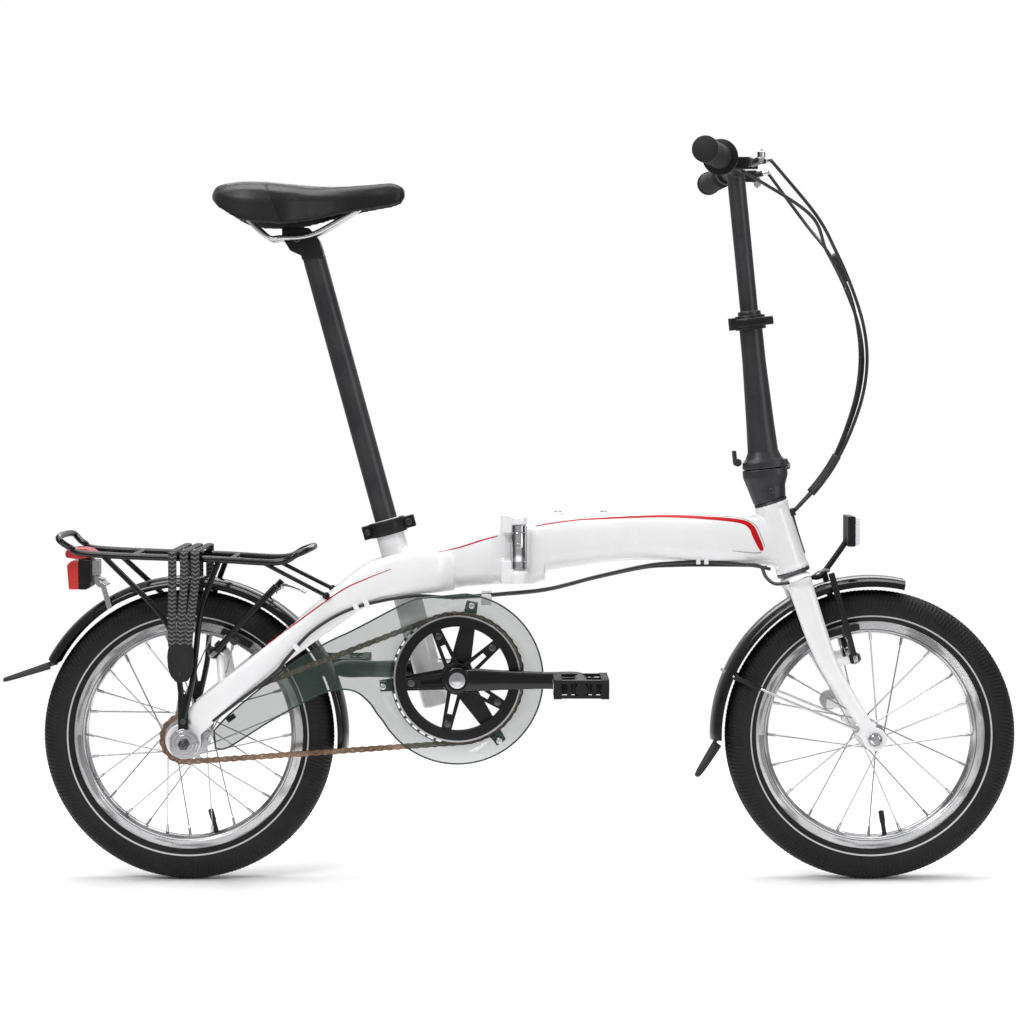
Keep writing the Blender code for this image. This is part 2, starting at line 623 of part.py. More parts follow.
def make_saddle():
    top = SEATPOST_TOP
    block = [(-0.0460, 0.0240), (-0.0100, 0.0050), (0.0080, 0.0050), (0.0080, 0.0220), (-0.0080, 0.0390),
             (-0.0330, 0.0400)]
    node("saddle_clamp", "black_plastic", "seatpost", plate([(top.x + x, top.z + z) for x, z in block], -0.0178, 0.0178))

    half = [(-0.0900, 0.0340, 0.0520), (-0.0620, 0.0300, 0.0270), (-0.0440, 0.0225, 0.0260),
            (-0.0020, 0.0225, 0.0300), (0.0450, 0.0150, 0.0560), (0.0640, 0.0080, 0.0680)]
    right = [top + Vector((x, -y, z)) for x, y, z in half]
    left = [top + Vector((x, y, z)) for x, y, z in reversed(half)]
    rail_route = smooth_path(right + left, 30)
    node("saddle_rails", "silver", "seatpost", tube(rail_route, 0.0035, 6))

    stations = [  # place along the length, half width, top, skirt and underside below the highest part
        (-0.500, 0.30, -0.014, -0.022, -0.018),
        (-0.450, 0.80, -0.004, -0.038, -0.030),
        (-0.340, 0.98, 0.000, -0.056, -0.042),
        (-0.220, 1.00, -0.001, -0.061, -0.046),
        (-0.090, 0.88, -0.004, -0.062, -0.044),
        (0.040, 0.62, -0.007, -0.056, -0.040),
        (0.170, 0.42, -0.006, -0.047, -0.036),
        (0.310, 0.30, -0.003, -0.040, -0.032),
        (0.430, 0.26, 0.000, -0.034, -0.028),
        (0.500, 0.14, -0.008, -0.022, -0.018),
    ]
    rings = []
    for along, wide, crown, skirt, belly in stations:
        y = wide * SADDLE_WIDTH / 2
        section = [(0, crown), (0.55, crown - 0.002), (0.88, crown - 0.008), (1.0, 0.5 * (crown + skirt))]
        section += [(0.96, skirt), (0.80, belly)]
        ring = [(s * y, z) for s, z in section] + [(-s * y, z) for s, z in reversed(section[1:])]
        rings.append([SADDLE_CENTRE + Vector((along * SADDLE_LENGTH, sy, z)) for sy, z in ring])
    channel = tube(smooth_path([2 * right[0] - right[1]] + right + left + [2 * left[-1] - left[-2]], 32), 0.0050, 6)
    node("saddle", "saddle_skin", "seatpost", loft(rings), cuts=[channel])


make_saddle()


# ---------------------------------------------------------------- fenders and flaps
def fender_profile():
    half = FENDER_WIDTH / 2
    outer = [(FENDER_RADIUS - 0.0135, 1.0), (FENDER_RADIUS - 0.0060, 0.93), (FENDER_RADIUS, 0.45)]
    outside = [(r, half * y) for r, y in outer]
    inside = [(FENDER_RADIUS - 0.0135, half - 1.6 * FENDER_WALL), (FENDER_RADIUS - 0.0070, half * 0.93 - FENDER_WALL),
              (FENDER_RADIUS - FENDER_WALL, half * 0.40)]
    right = outside + [(r, -y) for r, y in reversed(outside)]
    return right + [(r, -y) for r, y in inside] + [(r, y) for r, y in reversed(inside)]


def make_flap(end, body, hub, angle, tip):
    """The rubber flap below a fender's end: a tapering curved sheet that ends at its tip."""
    out = Vector((math.cos(angle), 0, math.sin(angle)))
    start = hub + (FENDER_RADIUS - 0.0060) * out
    along = (tip - start).normalized()
    lift = SIDE.cross(along)
    if lift.dot(out) < 0:
        lift = -lift
    rings = []
    for share, half in ((0.015, 0.0285), (0.5, 0.0300), (0.85, 0.0270), (1.0, 0.0180)):
        centre = start.lerp(tip, share)
        drop = -0.0070 + 0.0040 * share
        arch = [(-1.0, drop), (-0.7, -0.001), (0.7, -0.001), (1.0, drop)]
        ring = [centre + y * half * SIDE + z * lift for y, z in arch]
        ring += [centre + y * half * SIDE + (z - 0.0025) * lift for y, z in reversed(arch)]
        rings.append(ring)
    node(end + "_mudflap", "black_rubber", body, loft(rings))


FENDER_STEPS = 20
node(
    "rear_fender", "black_paint", "rear_frame",
    hoop(fender_profile(), REAR_HUB, FENDER_STEPS, math.radians(-5.5), math.radians(151)),
)
make_flap("rear", "rear_frame", REAR_HUB, math.radians(151.4), REAR_HUB + Vector((-FLAP_REACH, 0, 0.0790)))
make_flap("front", "fork", FRONT_HUB, math.radians(181.9), FRONT_HUB + Vector((-0.2450, 0, -0.0580)))


# ---------------------------------------------------------------- rack, straps and tail light
RACK_HEIGHT = FENDER_RADIUS + 0.0310


def make_rack():
    half = 0.0550
    tube_radius = 0.0045
    plan = [(-0.1710, -half, 0.0245), (-0.1548, -half, 0.0110), (-0.1268, -half, 0.0020), (0.0400, -half, -0.0050),
            (0.1267, -half, -0.0090), (0.1560, -half, 0.0020), (0.1725, -half * 0.45, 0.0085)]
    other = [(x, -y, z) for x, y, z in reversed(plan)]
    route = [rear(x, y, RACK_HEIGHT + z) for x, y, z in plan + other]
    hoop_tube = tube(route, tube_radius, 6, closed=True)
    joins = []
    foot_y = DROPOUT_OUTSIDE + 0.0045
    for side in (-1, 1):
        foot = rear(0.0020, side * foot_y, 0.0320)
        bent = rear(0.0160, side * (foot_y - 0.0020), 0.1240)
        joins.append(tube([foot, bent, rear(0.0260, side * 0.0640, 0.1840), rear(0.0490, side * half, RACK_HEIGHT - 0.0052)],
                          0.0040, 6))
        joins.append(tube([rear(-0.0010, side * foot_y, 0.0600), rear(-0.0240, side * 0.0700, 0.1660),
                           rear(-0.1110, side * half, RACK_HEIGHT + 0.0012)], 0.0040, 6))
        low = min(side * (DROPOUT_OUTSIDE + CLEARANCE), side * (foot_y + 0.0035))
        high = max(side * (DROPOUT_OUTSIDE + CLEARANCE), side * (foot_y + 0.0035))
        joins.append(box((REAR_HUB.x - 0.0060, low, REAR_HUB.z + 0.0100), (REAR_HUB.x + 0.0080, high, REAR_HUB.z + 0.0660)))
        joins.append(tube([rear(0.1060, side * half, RACK_HEIGHT - 0.0080), rear(0.1960, side * 0.0620, 0.1990)], 0.0032, 6))
    for x, z in ((0.0640, -0.0062), (-0.0700, -0.0005)):
        joins.append(tube([rear(x, -half, RACK_HEIGHT + z), rear(x, half, RACK_HEIGHT + z)], 0.0038, 6))
    bores = [turned([(-0.10, 0.0092), (0.10, 0.0092)], REAR_HUB, SIDE, 12)]
    node("rack", "black_paint", "rear_frame", hoop_tube, joins, bores)


make_rack()


def make_straps():
    """The three elastic bands as one sheet over the rack, with the rubber end they share."""
    y = DROPOUT_OUTSIDE + 0.0125
    top = RACK_HEIGHT + 0.0065
    wall = 0.0020
    section = [(-y, 0.0800), (-y - wall, 0.0800), (-y - wall, top + wall), (y + wall, top + wall), (y + wall, 0.1500),
               (y, 0.1500), (y, top), (-y, top)]
    rings = [[rear(x, sy, z) for sy, z in section] for x in (-0.0190, 0.0230)]
    node("rack_straps", "woven_strap", "rear_frame", loft(rings))


make_straps()

lamp_body = [(-0.1545, 0.2060), (-0.1330, 0.2060), (-0.1330, 0.2440), (-0.1420, 0.2490), (-0.1680, 0.2510),
             (-0.1700, 0.2400), (-0.1560, 0.2360)]
bracket = [(-0.1335, 0.1950), (-0.1170, 0.1950), (-0.1130, 0.2480), (-0.1335, 0.2480)]
strap = [(-0.1260, 0.1890), (-0.1080, 0.1955), (-0.1120, 0.2100), (-0.1260, 0.2100)]
node(
    "tail_light", "red_lens", "rear_frame", plate([(rear(x, 0, z).x, rear(x, 0, z).z) for x, z in lamp_body], -0.022, 0.022),
    joins=[
        plate([(rear(x, 0, z).x, rear(x, 0, z).z) for x, z in bracket], -0.008, 0.008),
        plate([(rear(x, 0, z).x, rear(x, 0, z).z) for x, z in strap], -0.006, 0.006),
    ],
    cuts=[hoop([(FENDER_RADIUS - 0.030, -0.04), (FENDER_RADIUS + 0.0006, -0.04), (FENDER_RADIUS + 0.0006, 0.04),
                (FENDER_RADIUS - 0.030, 0.04)], REAR_HUB, 12, math.radians(105), math.radians(150))],
)


# ---------------------------------------------------------------- chain, sprocket, guard
def chain_route(offset, steps_front=22, steps_rear=12):
    """The closed outline that lies offset outside the chain's pitch line."""
    across = REAR_HUB - BRACKET
    heading = math.atan2(across.z, across.x)
    reach = math.hypot(across.x, across.z)
    swing = math.acos((CHAINRING_PITCH_RADIUS - SPROCKET_PITCH_RADIUS) / reach)
    around_front = arc(BRACKET, CHAINRING_PITCH_RADIUS + offset, heading + swing - 2 * math.pi, heading - swing, steps_front)
    around_rear = arc(REAR_HUB, SPROCKET_PITCH_RADIUS + offset, heading - swing, heading + swing, steps_rear)
    return around_front + around_rear


def make_chain():
    inside = chain_route(-CHAIN_HEIGHT / 2)
    outside = chain_route(CHAIN_HEIGHT / 2)
    near = -CHAIN_LINE - CHAIN_WIDTH / 2
    far = -CHAIN_LINE + CHAIN_WIDTH / 2
    rings = []
    for (xi, zi), (xo, zo) in zip(inside, outside):
        rings.append([Vector((xi, near, zi)), Vector((xo, near, zo)), Vector((xo, far, zo)), Vector((xi, far, zi))])
    node("chain", "chain_steel", "rear_frame", loft(rings, closed=True))


make_chain()


def disc(centre, radius, low, high, steps=ROUND):
    """A round plate between two distances on the chain side."""
    return turned([(-high, radius), (-low, radius)], centre, SIDE, steps)


RING_ROOT = CHAINRING_PITCH_RADIUS - CHAIN_HEIGHT / 2 - 0.0012
SPROCKET_ROOT = SPROCKET_PITCH_RADIUS - CHAIN_HEIGHT / 2 - 0.0014
spindle_bore = disc(BRACKET, SPINDLE_RADIUS + CLEARANCE, 0.0, 0.1)
node(
    "chainring", "silver", "crank", disc(BRACKET, RING_ROOT, CHAIN_LINE - 0.0012, CHAIN_LINE + 0.0012, 36),
    cuts=[disc(BRACKET, 0.0560, 0.030, 0.060, 24)],
)
node(
    "rear_sprocket", "silver", "sprocket",
    disc(REAR_HUB, SPROCKET_ROOT, CHAIN_LINE - 0.0012, CHAIN_LINE + 0.0012, 20),
    joins=[disc(REAR_HUB, 0.0160, CHAIN_LINE - DRIVER_INSIDE, CHAIN_LINE + 0.0160, 20)],
    cuts=[disc(REAR_HUB, AXLE_RADIUS + CLEARANCE, 0.030, 0.070)],
)


def make_spider():
    """Five arms from the crank's boss to the ring that carries the chainring."""
    first = math.radians(41.6)
    rim_inner = 0.0715
    rim_outer = 0.0882
    ring = hoop([(rim_inner, -SPIDER_OUTSIDE), (rim_outer, -SPIDER_OUTSIDE), (rim_outer, -SPIDER_INSIDE),
                 (rim_inner, -SPIDER_INSIDE)], BRACKET, 30)
    joins = [disc(BRACKET, 0.0200, SPIDER_INSIDE, SPIDER_OUTSIDE)]
    for k in range(5):
        angle = first + k * 2 * math.pi / 5
        out = Vector((math.cos(angle), 0, math.sin(angle)))
        cross = Vector((-math.sin(angle), 0, math.cos(angle)))
        corners = [(0.010, -0.0130), (0.075, -0.0060), (0.075, 0.0060), (0.010, 0.0130)]
        outline = [BRACKET + a * out + b * cross for a, b in corners]
        joins.append(plate([(p.x, p.z) for p in outline], -SPIDER_OUTSIDE + 0.0004, -SPIDER_INSIDE - 0.0004))
    node("chainring_spider", "black_paint", "crank", ring, joins, [disc(BRACKET, SPINDLE_RADIUS + CLEARANCE, 0.03, 0.09)])


make_spider()


def make_cranks():
    node(
        "crank_spindle", "silver", "crank",
        turned([(-CRANK_INSIDE - 0.0120, SPINDLE_RADIUS), (CRANK_INSIDE + 0.0120, SPINDLE_RADIUS)], BRACKET, SIDE),
    )
    for name, side, ahead in (("right", -1, 1), ("left", 1, -1)):
        middle = CRANK_INSIDE + CRANK_THICKNESS / 2
        stations = [
            (BRACKET + Vector((ahead * -0.0050, side * middle, 0)), 0.0130, CRANK_THICKNESS / 2),
            (BRACKET + Vector((ahead * 0.0250, side * middle, 0)), 0.0155, CRANK_THICKNESS / 2),
            (BRACKET + Vector((ahead * 0.0900, side * (middle + 0.4 * CRANK_SPLAY), 0)), 0.0150, CRANK_THICKNESS / 2),
            (BRACKET + Vector((ahead * CRANK_LENGTH * 0.93, side * (middle + CRANK_SPLAY), 0)), 0.0130, 0.0065),
            (BRACKET + Vector((ahead * (CRANK_LENGTH + 0.0140), side * (middle + CRANK_SPLAY), 0)), 0.0085, 0.0060),
        ]
        inner = CRANK_INSIDE - 0.0036
        outer = CRANK_INSIDE + CRANK_THICKNESS + 0.0010
        boss = turned([(min(side * inner, side * outer), 0.0175), (max(side * inner, side * outer), 0.0175)], BRACKET, SIDE)
        bore = turned([(-0.2, SPINDLE_RADIUS + CLEARANCE), (0.2, SPINDLE_RADIUS + CLEARANCE)], BRACKET, SIDE)
        node(name + "_crank", "black_paint", "crank", blade(stations), [boss], [bore])

        pedal = BRACKET + Vector((ahead * CRANK_LENGTH, 0, 0))
        body_in = PEDAL_INSIDE + 0.0060
        body_out = PEDAL_INSIDE + PEDAL_WIDTH
        low = min(side * body_in, side * body_out)
        high = max(side * body_in, side * body_out)
        tread = [(-0.0360, -0.0130), (0.0360, -0.0130), (0.0370, 0.0120), (0.0300, 0.0145), (-0.0300, 0.0145),
                 (-0.0370, 0.0120)]
        block = plate([(pedal.x + x, pedal.z + z) for x, z in tread], low, high)
        start = PEDAL_INSIDE - 0.0044
        pin = turned([(min(side * start, side * (body_in + 0.01)), 0.0075), (max(side * start, side * (body_in + 0.01)), 0.0075)],
                     pedal, SIDE, 10)
        windows = []
        for a, b in ((-0.0290, -0.0110), (0.0110, 0.0290)):
            windows.append(box((pedal.x + a, low + 0.012, pedal.z - 0.03), (pedal.x + b, high - 0.012, pedal.z + 0.03)))
        node(name + "_pedal", "black_plastic", name + "_pedal", block, [pin], windows)


make_cranks()


def make_guard():
    """The clear disc round the chainring with its tail along the chain, and the plate that carries it."""
    low = CHAIN_OUTSIDE + 0.0022
    high = low + 0.0022
    circle = arc(BRACKET, GUARD_RADIUS, math.radians(207), math.radians(446), 34)
    circle = [(x, z) for x, z in circle]
    tail = [(0.2330, 0.1510), (0.1950, 0.1360), (0.1482, 0.1050), (0.0600, 0.0330), (0.0400, 0.0120), (0.0420, -0.0130),
            (0.0600, -0.0110), (0.1577, 0.0500), (0.2300, 0.0640)]
    outline = circle + [(rear(x, 0, z).x, rear(x, 0, z).z) for x, z in tail]
    guard = plate(outline, -high, -low)
    carrier_out = CHAIN_LINE - CHAIN_WIDTH / 2 - 0.0012
    hub_in = BRACKET_SHELL_LENGTH / 2 + CLEARANCE
    hub = disc(BRACKET, 0.0240, hub_in, carrier_out)
    joins = []
    for degrees in (79, -56, 186):
        angle = math.radians(degrees)
        out = Vector((math.cos(angle), 0, math.sin(angle)))
        cross = Vector((-math.sin(angle), 0, math.cos(angle)))
        corners = [(0.010, -0.0150), (0.1080, -0.0080), (0.1080, 0.0080), (0.010, 0.0150)]
        outline = [BRACKET + a * out + b * cross for a, b in corners]
        joins.append(plate([(p.x, p.z) for p in outline], -carrier_out, -carrier_out + 0.0028))
        foot = [BRACKET + a * out + b * cross for a, b in ((0.0985, -0.0070), (0.1075, -0.0070), (0.1075, 0.0070), (0.0985, 0.0070))]
        joins.append(plate([(p.x, p.z) for p in foot], -low - 0.0008, -carrier_out + 0.0015))
    bore = disc(BRACKET, 0.0172, 0.0, 0.1)
    window = disc(BRACKET, 0.0905, carrier_out + 0.0008, 0.1, 36)
    node("chain_guard", "clear_plastic", "rear_frame", guard, [hub] + joins, [bore, window])


make_guard()


# ---------------------------------------------------------------- axles
def make_axle(name, body, hub, inside, outside, nut_length, guard=()):
    """A bar through the hub with a nut outside each dropout."""
    end = outside + CLEARANCE + nut_length
    profile = [(-end - 0.004, AXLE_RADIUS), (-end, AXLE_RADIUS), (-end, 0.0080), (-outside - CLEARANCE, 0.0080),
               (-outside - CLEARANCE, AXLE_RADIUS)]
    profile += [(-y, r) for y, r in reversed(profile)]
    node(name, "chrome", body, turned(profile, hub, SIDE, 12), guard)


guard_y = -DROPOUT_OUTSIDE - 0.0102
axle_guard = turned([(guard_y - 0.0050, 0.0120), (guard_y - 0.0020, 0.0200), (guard_y, 0.0215), (guard_y + 0.0010, 0.0215)],
                    rear(0.0030, 0, -0.0020), SIDE, 16)
make_axle("rear_axle", "rear_frame", REAR_HUB, DROPOUT_INSIDE, DROPOUT_OUTSIDE, 0.0080, [axle_guard])
make_axle("front_axle", "fork", FRONT_HUB, BLADE_INSIDE, BLADE_INSIDE + BLADE_WALL, 0.0055)


# ---------------------------------------------------------------- front frame
def make_front_frame():
    middle = HINGE.z - 0.0120
    casting_height = HINGE_PIN_HEIGHT / 2 + 0.0110
    casting = loft(
        [
            oval(Vector((x, 0, middle)), 0.0290 * s * SIDE, casting_height * s * UP, ROUND, 4.5)
            for x, s in ((HINGE_FRONT_FACE, 1.0), (HINGE_FRONT_FACE + 0.0200, 1.0), (HINGE_FRONT_FACE + 0.0300, 0.92))
        ]
    )
    start = Vector((HINGE.x, 0, HINGE.z - 0.0090))
    finish = (HEAD_TOP + HEAD_BOTTOM) / 2 + Vector((0.0020, 0, -0.0050))
    beam = []
    for share, bow, high, wide in ((0.055, 0.0070, 0.0395, 0.0258), (0.20, 0.0110, 0.0353, 0.0250),
                                   (0.42, 0.0155, 0.0337, 0.0240), (0.70, 0.0085, 0.0342, 0.0230),
                                   (1.00, 0.0000, 0.0365, 0.0190)):
        centre = start.lerp(finish, share) + bow * UP
        beam.append(oval(centre, wide * SIDE, high * UP, ROUND, 2.8))
    head = turned([(0, HEAD_TUBE_RADIUS), (HEAD_TUBE_LENGTH, HEAD_TUBE_RADIUS)], HEAD_BOTTOM, HEAD_DIRECTION)
    joins = [loft(beam), head]
    for ahead in (0.0547, 0.0547 + BOSS_SPACING):
        centre = Vector((HINGE.x + ahead, 0, HINGE.z + 0.0370))
        joins.append(turned([(0, 0.0060), (0.0105, 0.0060)], centre, UP, 12))
    lug_x = PIVOTS["frame_latch"].x
    lug_y = PIVOTS["frame_latch"].y
    for low, high in ((HINGE.z + 0.0190, HINGE.z + 0.0245), (HINGE.z - 0.0245, HINGE.z - 0.0190)):
        joins.append(box((lug_x - 0.0070, 0.0240, low), (lug_x + 0.0070, lug_y + 0.0070, high)))
    pin = HINGE_PIN_HEIGHT / 2
    joins.append(box((HINGE_FRONT_FACE, HINGE.y, HINGE.z - pin + 0.0030), (HINGE.x + 0.0105, -0.0200, HINGE.z + pin - 0.0030)))
    bore = HEAD_BOTTOM - 0.05 * HEAD_DIRECTION
    cuts = [
        turned([(-0.08, 0.0132), (-pin - 0.0010, 0.0132), (-pin + 0.001, HINGE_PIN_RADIUS + CLEARANCE),
                (pin - 0.001, HINGE_PIN_RADIUS + CLEARANCE), (pin + 0.0010, 0.0132), (0.08, 0.0132)], HINGE, UP),
        turned([(0, 0.0180), (0.30, 0.0180)], bore, HEAD_DIRECTION),
    ]
    node("front_frame", "white_paint", "front_frame", casting, joins, cuts)


make_front_frame()


def make_frame_latch():
    """The lever that closes the frame's hinge, folded forward along the beam on the left side."""
    pivot = PIVOTS["frame_latch"]
    hub = turned([(-0.0185, 0.0065), (0.0185, 0.0065)], pivot, UP, 12)
    route = [(0.0000, 0.0010), (0.0250, 0.0050), (0.0600, 0.0045), (0.0950, 0.0030)]
    rings = []
    for (x, y), high in zip(route, (0.0150, 0.0130, 0.0110, 0.0085)):
        rings.append(oval(pivot + Vector((x, y, 0)), 0.0035 * SIDE, high * UP, 8, 3.5))
    nose = oriented_box(pivot + Vector((-0.0030, 0.0015, 0)), Vector((1, 0, 0)), SIDE, (0.0055, 0.0040, 0.0150))
    node("frame_latch_lever", "graphite", "frame_latch", hub, [loft(rings), nose])


make_frame_latch()

RING_GAP = 0.0048
node(
    "headset", "black_plastic", "front_frame",
    turned([(-RING_GAP, 0.0232), (-CLEARANCE, 0.0232), (-CLEARANCE, 0.0176), (HEAD_TUBE_LENGTH + CLEARANCE, 0.0176),
            (HEAD_TUBE_LENGTH + CLEARANCE, 0.0232), (HEAD_TUBE_LENGTH + 0.0035, 0.0232)], HEAD_BOTTOM, HEAD_DIRECTION),
    cuts=[turned([(-0.05, STEERER_RADIUS + CLEARANCE), (0.2, STEERER_RADIUS + CLEARANCE)], HEAD_BOTTOM, HEAD_DIRECTION)],
)


# ---------------------------------------------------------------- fork
def make_fork():
    crown_top = -RING_GAP - CLEARANCE
    crown_middle = HEAD_BOTTOM + (crown_top - 0.0100) * HEAD_DIRECTION
    forward = HEAD_DIRECTION.cross(SIDE) * -1
    rings = []
    for y, deep, high in ((-0.0490, 0.0140, 0.0080), (-0.0400, 0.0180, 0.0098), (0.0, 0.0215, 0.0100),
                          (0.0400, 0.0180, 0.0098), (0.0490, 0.0140, 0.0080)):
        rings.append(oval(crown_middle + y * SIDE, deep * forward, high * HEAD_DIRECTION, 12, 3.0))
    crown = loft(rings)
    top = crown_middle
    joins = [turned([(-0.008, STEERER_RADIUS), (HEAD_TUBE_LENGTH + 0.0250, STEERER_RADIUS)], HEAD_BOTTOM, HEAD_DIRECTION)]
    tab_y = BLADE_INSIDE + BLADE_WALL
    for side in (-1, 1):
        stations = [
            (Vector((top.x, side * 0.0405, top.z)), 0.0170, 0.0085),
            (front(-0.0800, side * 0.0430, 0.1443), 0.0160, 0.0085),
            (front(-0.0625, side * 0.0455, 0.1020), 0.0130, 0.0080),
            (front(-0.0300, side * 0.0500, 0.0480), 0.0105, 0.0065),
            (front(-0.0030, side * (BLADE_INSIDE + BLADE_WALL / 2), 0.0040), 0.0085, 0.0033),
        ]
        joins.append(blade(stations))
        ends = (side * BLADE_INSIDE, side * tab_y)
        joins.append(turned([(min(ends), 0.0185), (max(ends), 0.0185)], FRONT_HUB, SIDE))
        eye = [(0.0020, 0.0120), (-0.0270, 0.0205), (-0.0330, 0.0147), (-0.0270, 0.0085), (-0.0060, -0.0100)]
        joins.append(plate([(FRONT_HUB.x + x, FRONT_HUB.z + z) for x, z in eye], min(ends), max(ends)))
        joins.append(brake_post("front", side, front(-0.0640, side * 0.0455, 0.1050)))
    joins.append(plate([(front(x, 0, z).x, front(x, 0, z).z) for x, z in
                        ((-0.0260, 0.0290), (-0.0540, 0.0290), (-0.0540, 0.0420), (-0.0300, 0.0440))], 0.0520, 0.0560))
    magnet = front(-0.0485, 0.0580, 0.0410)
    joins.append(turned([(-0.0030, 0.0140), (0.0045, 0.0140)], magnet, SIDE, 14))
    cuts = [turned([(-0.10, AXLE_RADIUS + CLEARANCE), (0.10, AXLE_RADIUS + CLEARANCE)], FRONT_HUB, SIDE)]
    node("fork", "white_paint", "fork", crown, joins, cuts)


make_fork()


def make_front_fender():
    """The front fender with the two rods that hold it, from a bracket on it to eyes by the hub."""
    start = math.radians(156.5)
    edge = FENDER_WIDTH / 2
    out = Vector((math.cos(start), 0, math.sin(start)))
    joins = []
    for side in (-1, 1):
        grip = FRONT_HUB + (FENDER_RADIUS - 0.0115) * out
        route = [
            grip + side * (edge - 0.0020) * SIDE,
            grip - 0.0040 * out + side * (edge + 0.0030) * SIDE,
            FRONT_HUB + Vector((-0.1100, side * 0.0560, 0.0492)),
            FRONT_HUB + Vector((-0.0270, side * (BLADE_INSIDE + BLADE_WALL + 0.0027), 0.0147)),
        ]
        joins.append(tube(route, 0.0022, 6))
    arch = hoop(fender_profile(), FRONT_HUB, FENDER_STEPS, math.radians(78), math.radians(181.5))
    node("front_fender", "black_paint", "fork", arch, joins)


make_front_fender()


def make_reflector():
    lens_x = front(-0.0350, 0, 0).x
    low = front(0, 0, 0.2640).z
    high = front(0, 0, 0.3060).z
    body = box((lens_x, -0.0290, low), (lens_x + 0.0180, 0.0290, high))
    arm_end = HEAD_BOTTOM - (RING_GAP + 0.0100) * HEAD_DIRECTION - 0.0225 * (HEAD_DIRECTION.cross(SIDE))
    route = [arm_end + Vector((0.0010, 0, 0.0)), arm_end + Vector((0.0180, 0, 0.0080)), Vector((lens_x + 0.004, 0, low + 0.010))]
    node("front_reflector", "clear_lens", "fork", body, [tube(route, 0.0045, 6)])


make_reflector()


# ---------------------------------------------------------------- brakes
def make_brake(end, side):
    """One brake arm with its shoe, pivoted on a boss beside the rim."""
    name = f"{end}_brake_" + ("right" if side < 0 else "left")
    hub, place, lean, arm_length, shoe_angle = BRAKES[end]
    along = Vector((math.cos(lean), 0, math.sin(lean)))
    normal = Vector((-math.sin(lean), 0, math.cos(lean)))
    across = side * SIDE
    pivot = hub + Vector((place[0], side * BRAKE_SPREAD, place[1]))
    PIVOTS[name] = pivot
    boss = turned([(-0.0060, 0.0075), (0.0060, 0.0075)], pivot, normal, 10)
    rings = []
    for share, away, half in ((-0.02, 0.0, 0.0070), (0.28, 0.0080, 0.0062), (0.60, 0.0105, 0.0055), (1.0, 0.0060, 0.0045)):
        centre = pivot + share * arm_length * along + away * across
        rings.append(oval(centre, half * across, 0.0045 * normal, 8, 3.0))
    out = Vector((math.cos(shoe_angle), 0, math.sin(shoe_angle)))
    tangent = Vector((-math.sin(shoe_angle), 0, math.cos(shoe_angle)))
    shoe_y = RIM_WIDTH / 2 + 0.0020 + 0.0050
    shoe_centre = hub + (RIM_RADIUS - 0.0085) * out + shoe_y * across
    shoe = oriented_box(shoe_centre, tangent, out, (0.0200, 0.0038, 0.0050))
    reach = (shoe_centre - pivot).dot(along)
    on_arm = pivot + reach * along + 0.0085 * across
    elbow = shoe_centre + (on_arm - shoe_centre).dot(across) * across
    post = tube([shoe_centre, elbow + 0.0040 * across], 0.0034, 6)
    link = tube([elbow, on_arm], 0.0038, 6)
    node(name, "black_plastic", name, boss, [loft(rings), shoe, post, link])


for end in ("rear", "front"):
    for side in (-1, 1):
        make_brake(end, side)


# ---------------------------------------------------------------- handlepost
def post_knuckle(low, high, half):
    """A knuckle on the handlepost's hinge line with its web, on the upper (1) or lower (-1) half."""
    barrel = turned([(low, 0.0058), (high, 0.0058)], POST_HINGE, POST_HINGE_AXIS, 12)
    middle = POST_HINGE + (low + high) / 2 * POST_HINGE_AXIS - 0.0085 * POST_HINGE_OUT + 0.0052 * half * POST_DIRECTION
    web = oriented_box(middle, POST_HINGE_OUT, POST_HINGE_AXIS, (0.0090, (high - low) / 2, 0.0048))
    return [barrel, web]


def make_post_base():
    """The casting on the steerer that carries the lower half of the handlepost's hinge."""
    low = HEAD_TOP + 0.0040 * HEAD_DIRECTION
    high = POST_SPLIT - CLEARANCE * POST_DIRECTION
    forward_low = HEAD_DIRECTION.cross(SIDE) * -1
    forward_high = POST_DIRECTION.cross(SIDE) * -1
    rings = [
        oval(low, 0.0230 * SIDE, 0.0235 * forward_low, ROUND, 2.2),
        oval(low.lerp(high, 0.45) - 0.002 * forward_high, 0.0235 * SIDE, 0.0265 * forward_high, ROUND, 2.3),
        oval(high - 0.0100 * POST_DIRECTION, 0.0250 * SIDE, 0.0310 * forward_high, ROUND, 2.6),
        oval(high, 0.0250 * SIDE, 0.0310 * forward_high, ROUND, 2.6),
    ]
    knuckle = post_knuckle(-0.0050, 0.0050, -1)
    bore = turned([(-0.05, STEERER_RADIUS + CLEARANCE), (HEAD_TUBE_LENGTH + 0.0258, STEERER_RADIUS + CLEARANCE)],
                  HEAD_BOTTOM, HEAD_DIRECTION)
    node("handlepost_base", "graphite", "fork", loft(rings), knuckle, [bore])


make_post_base()


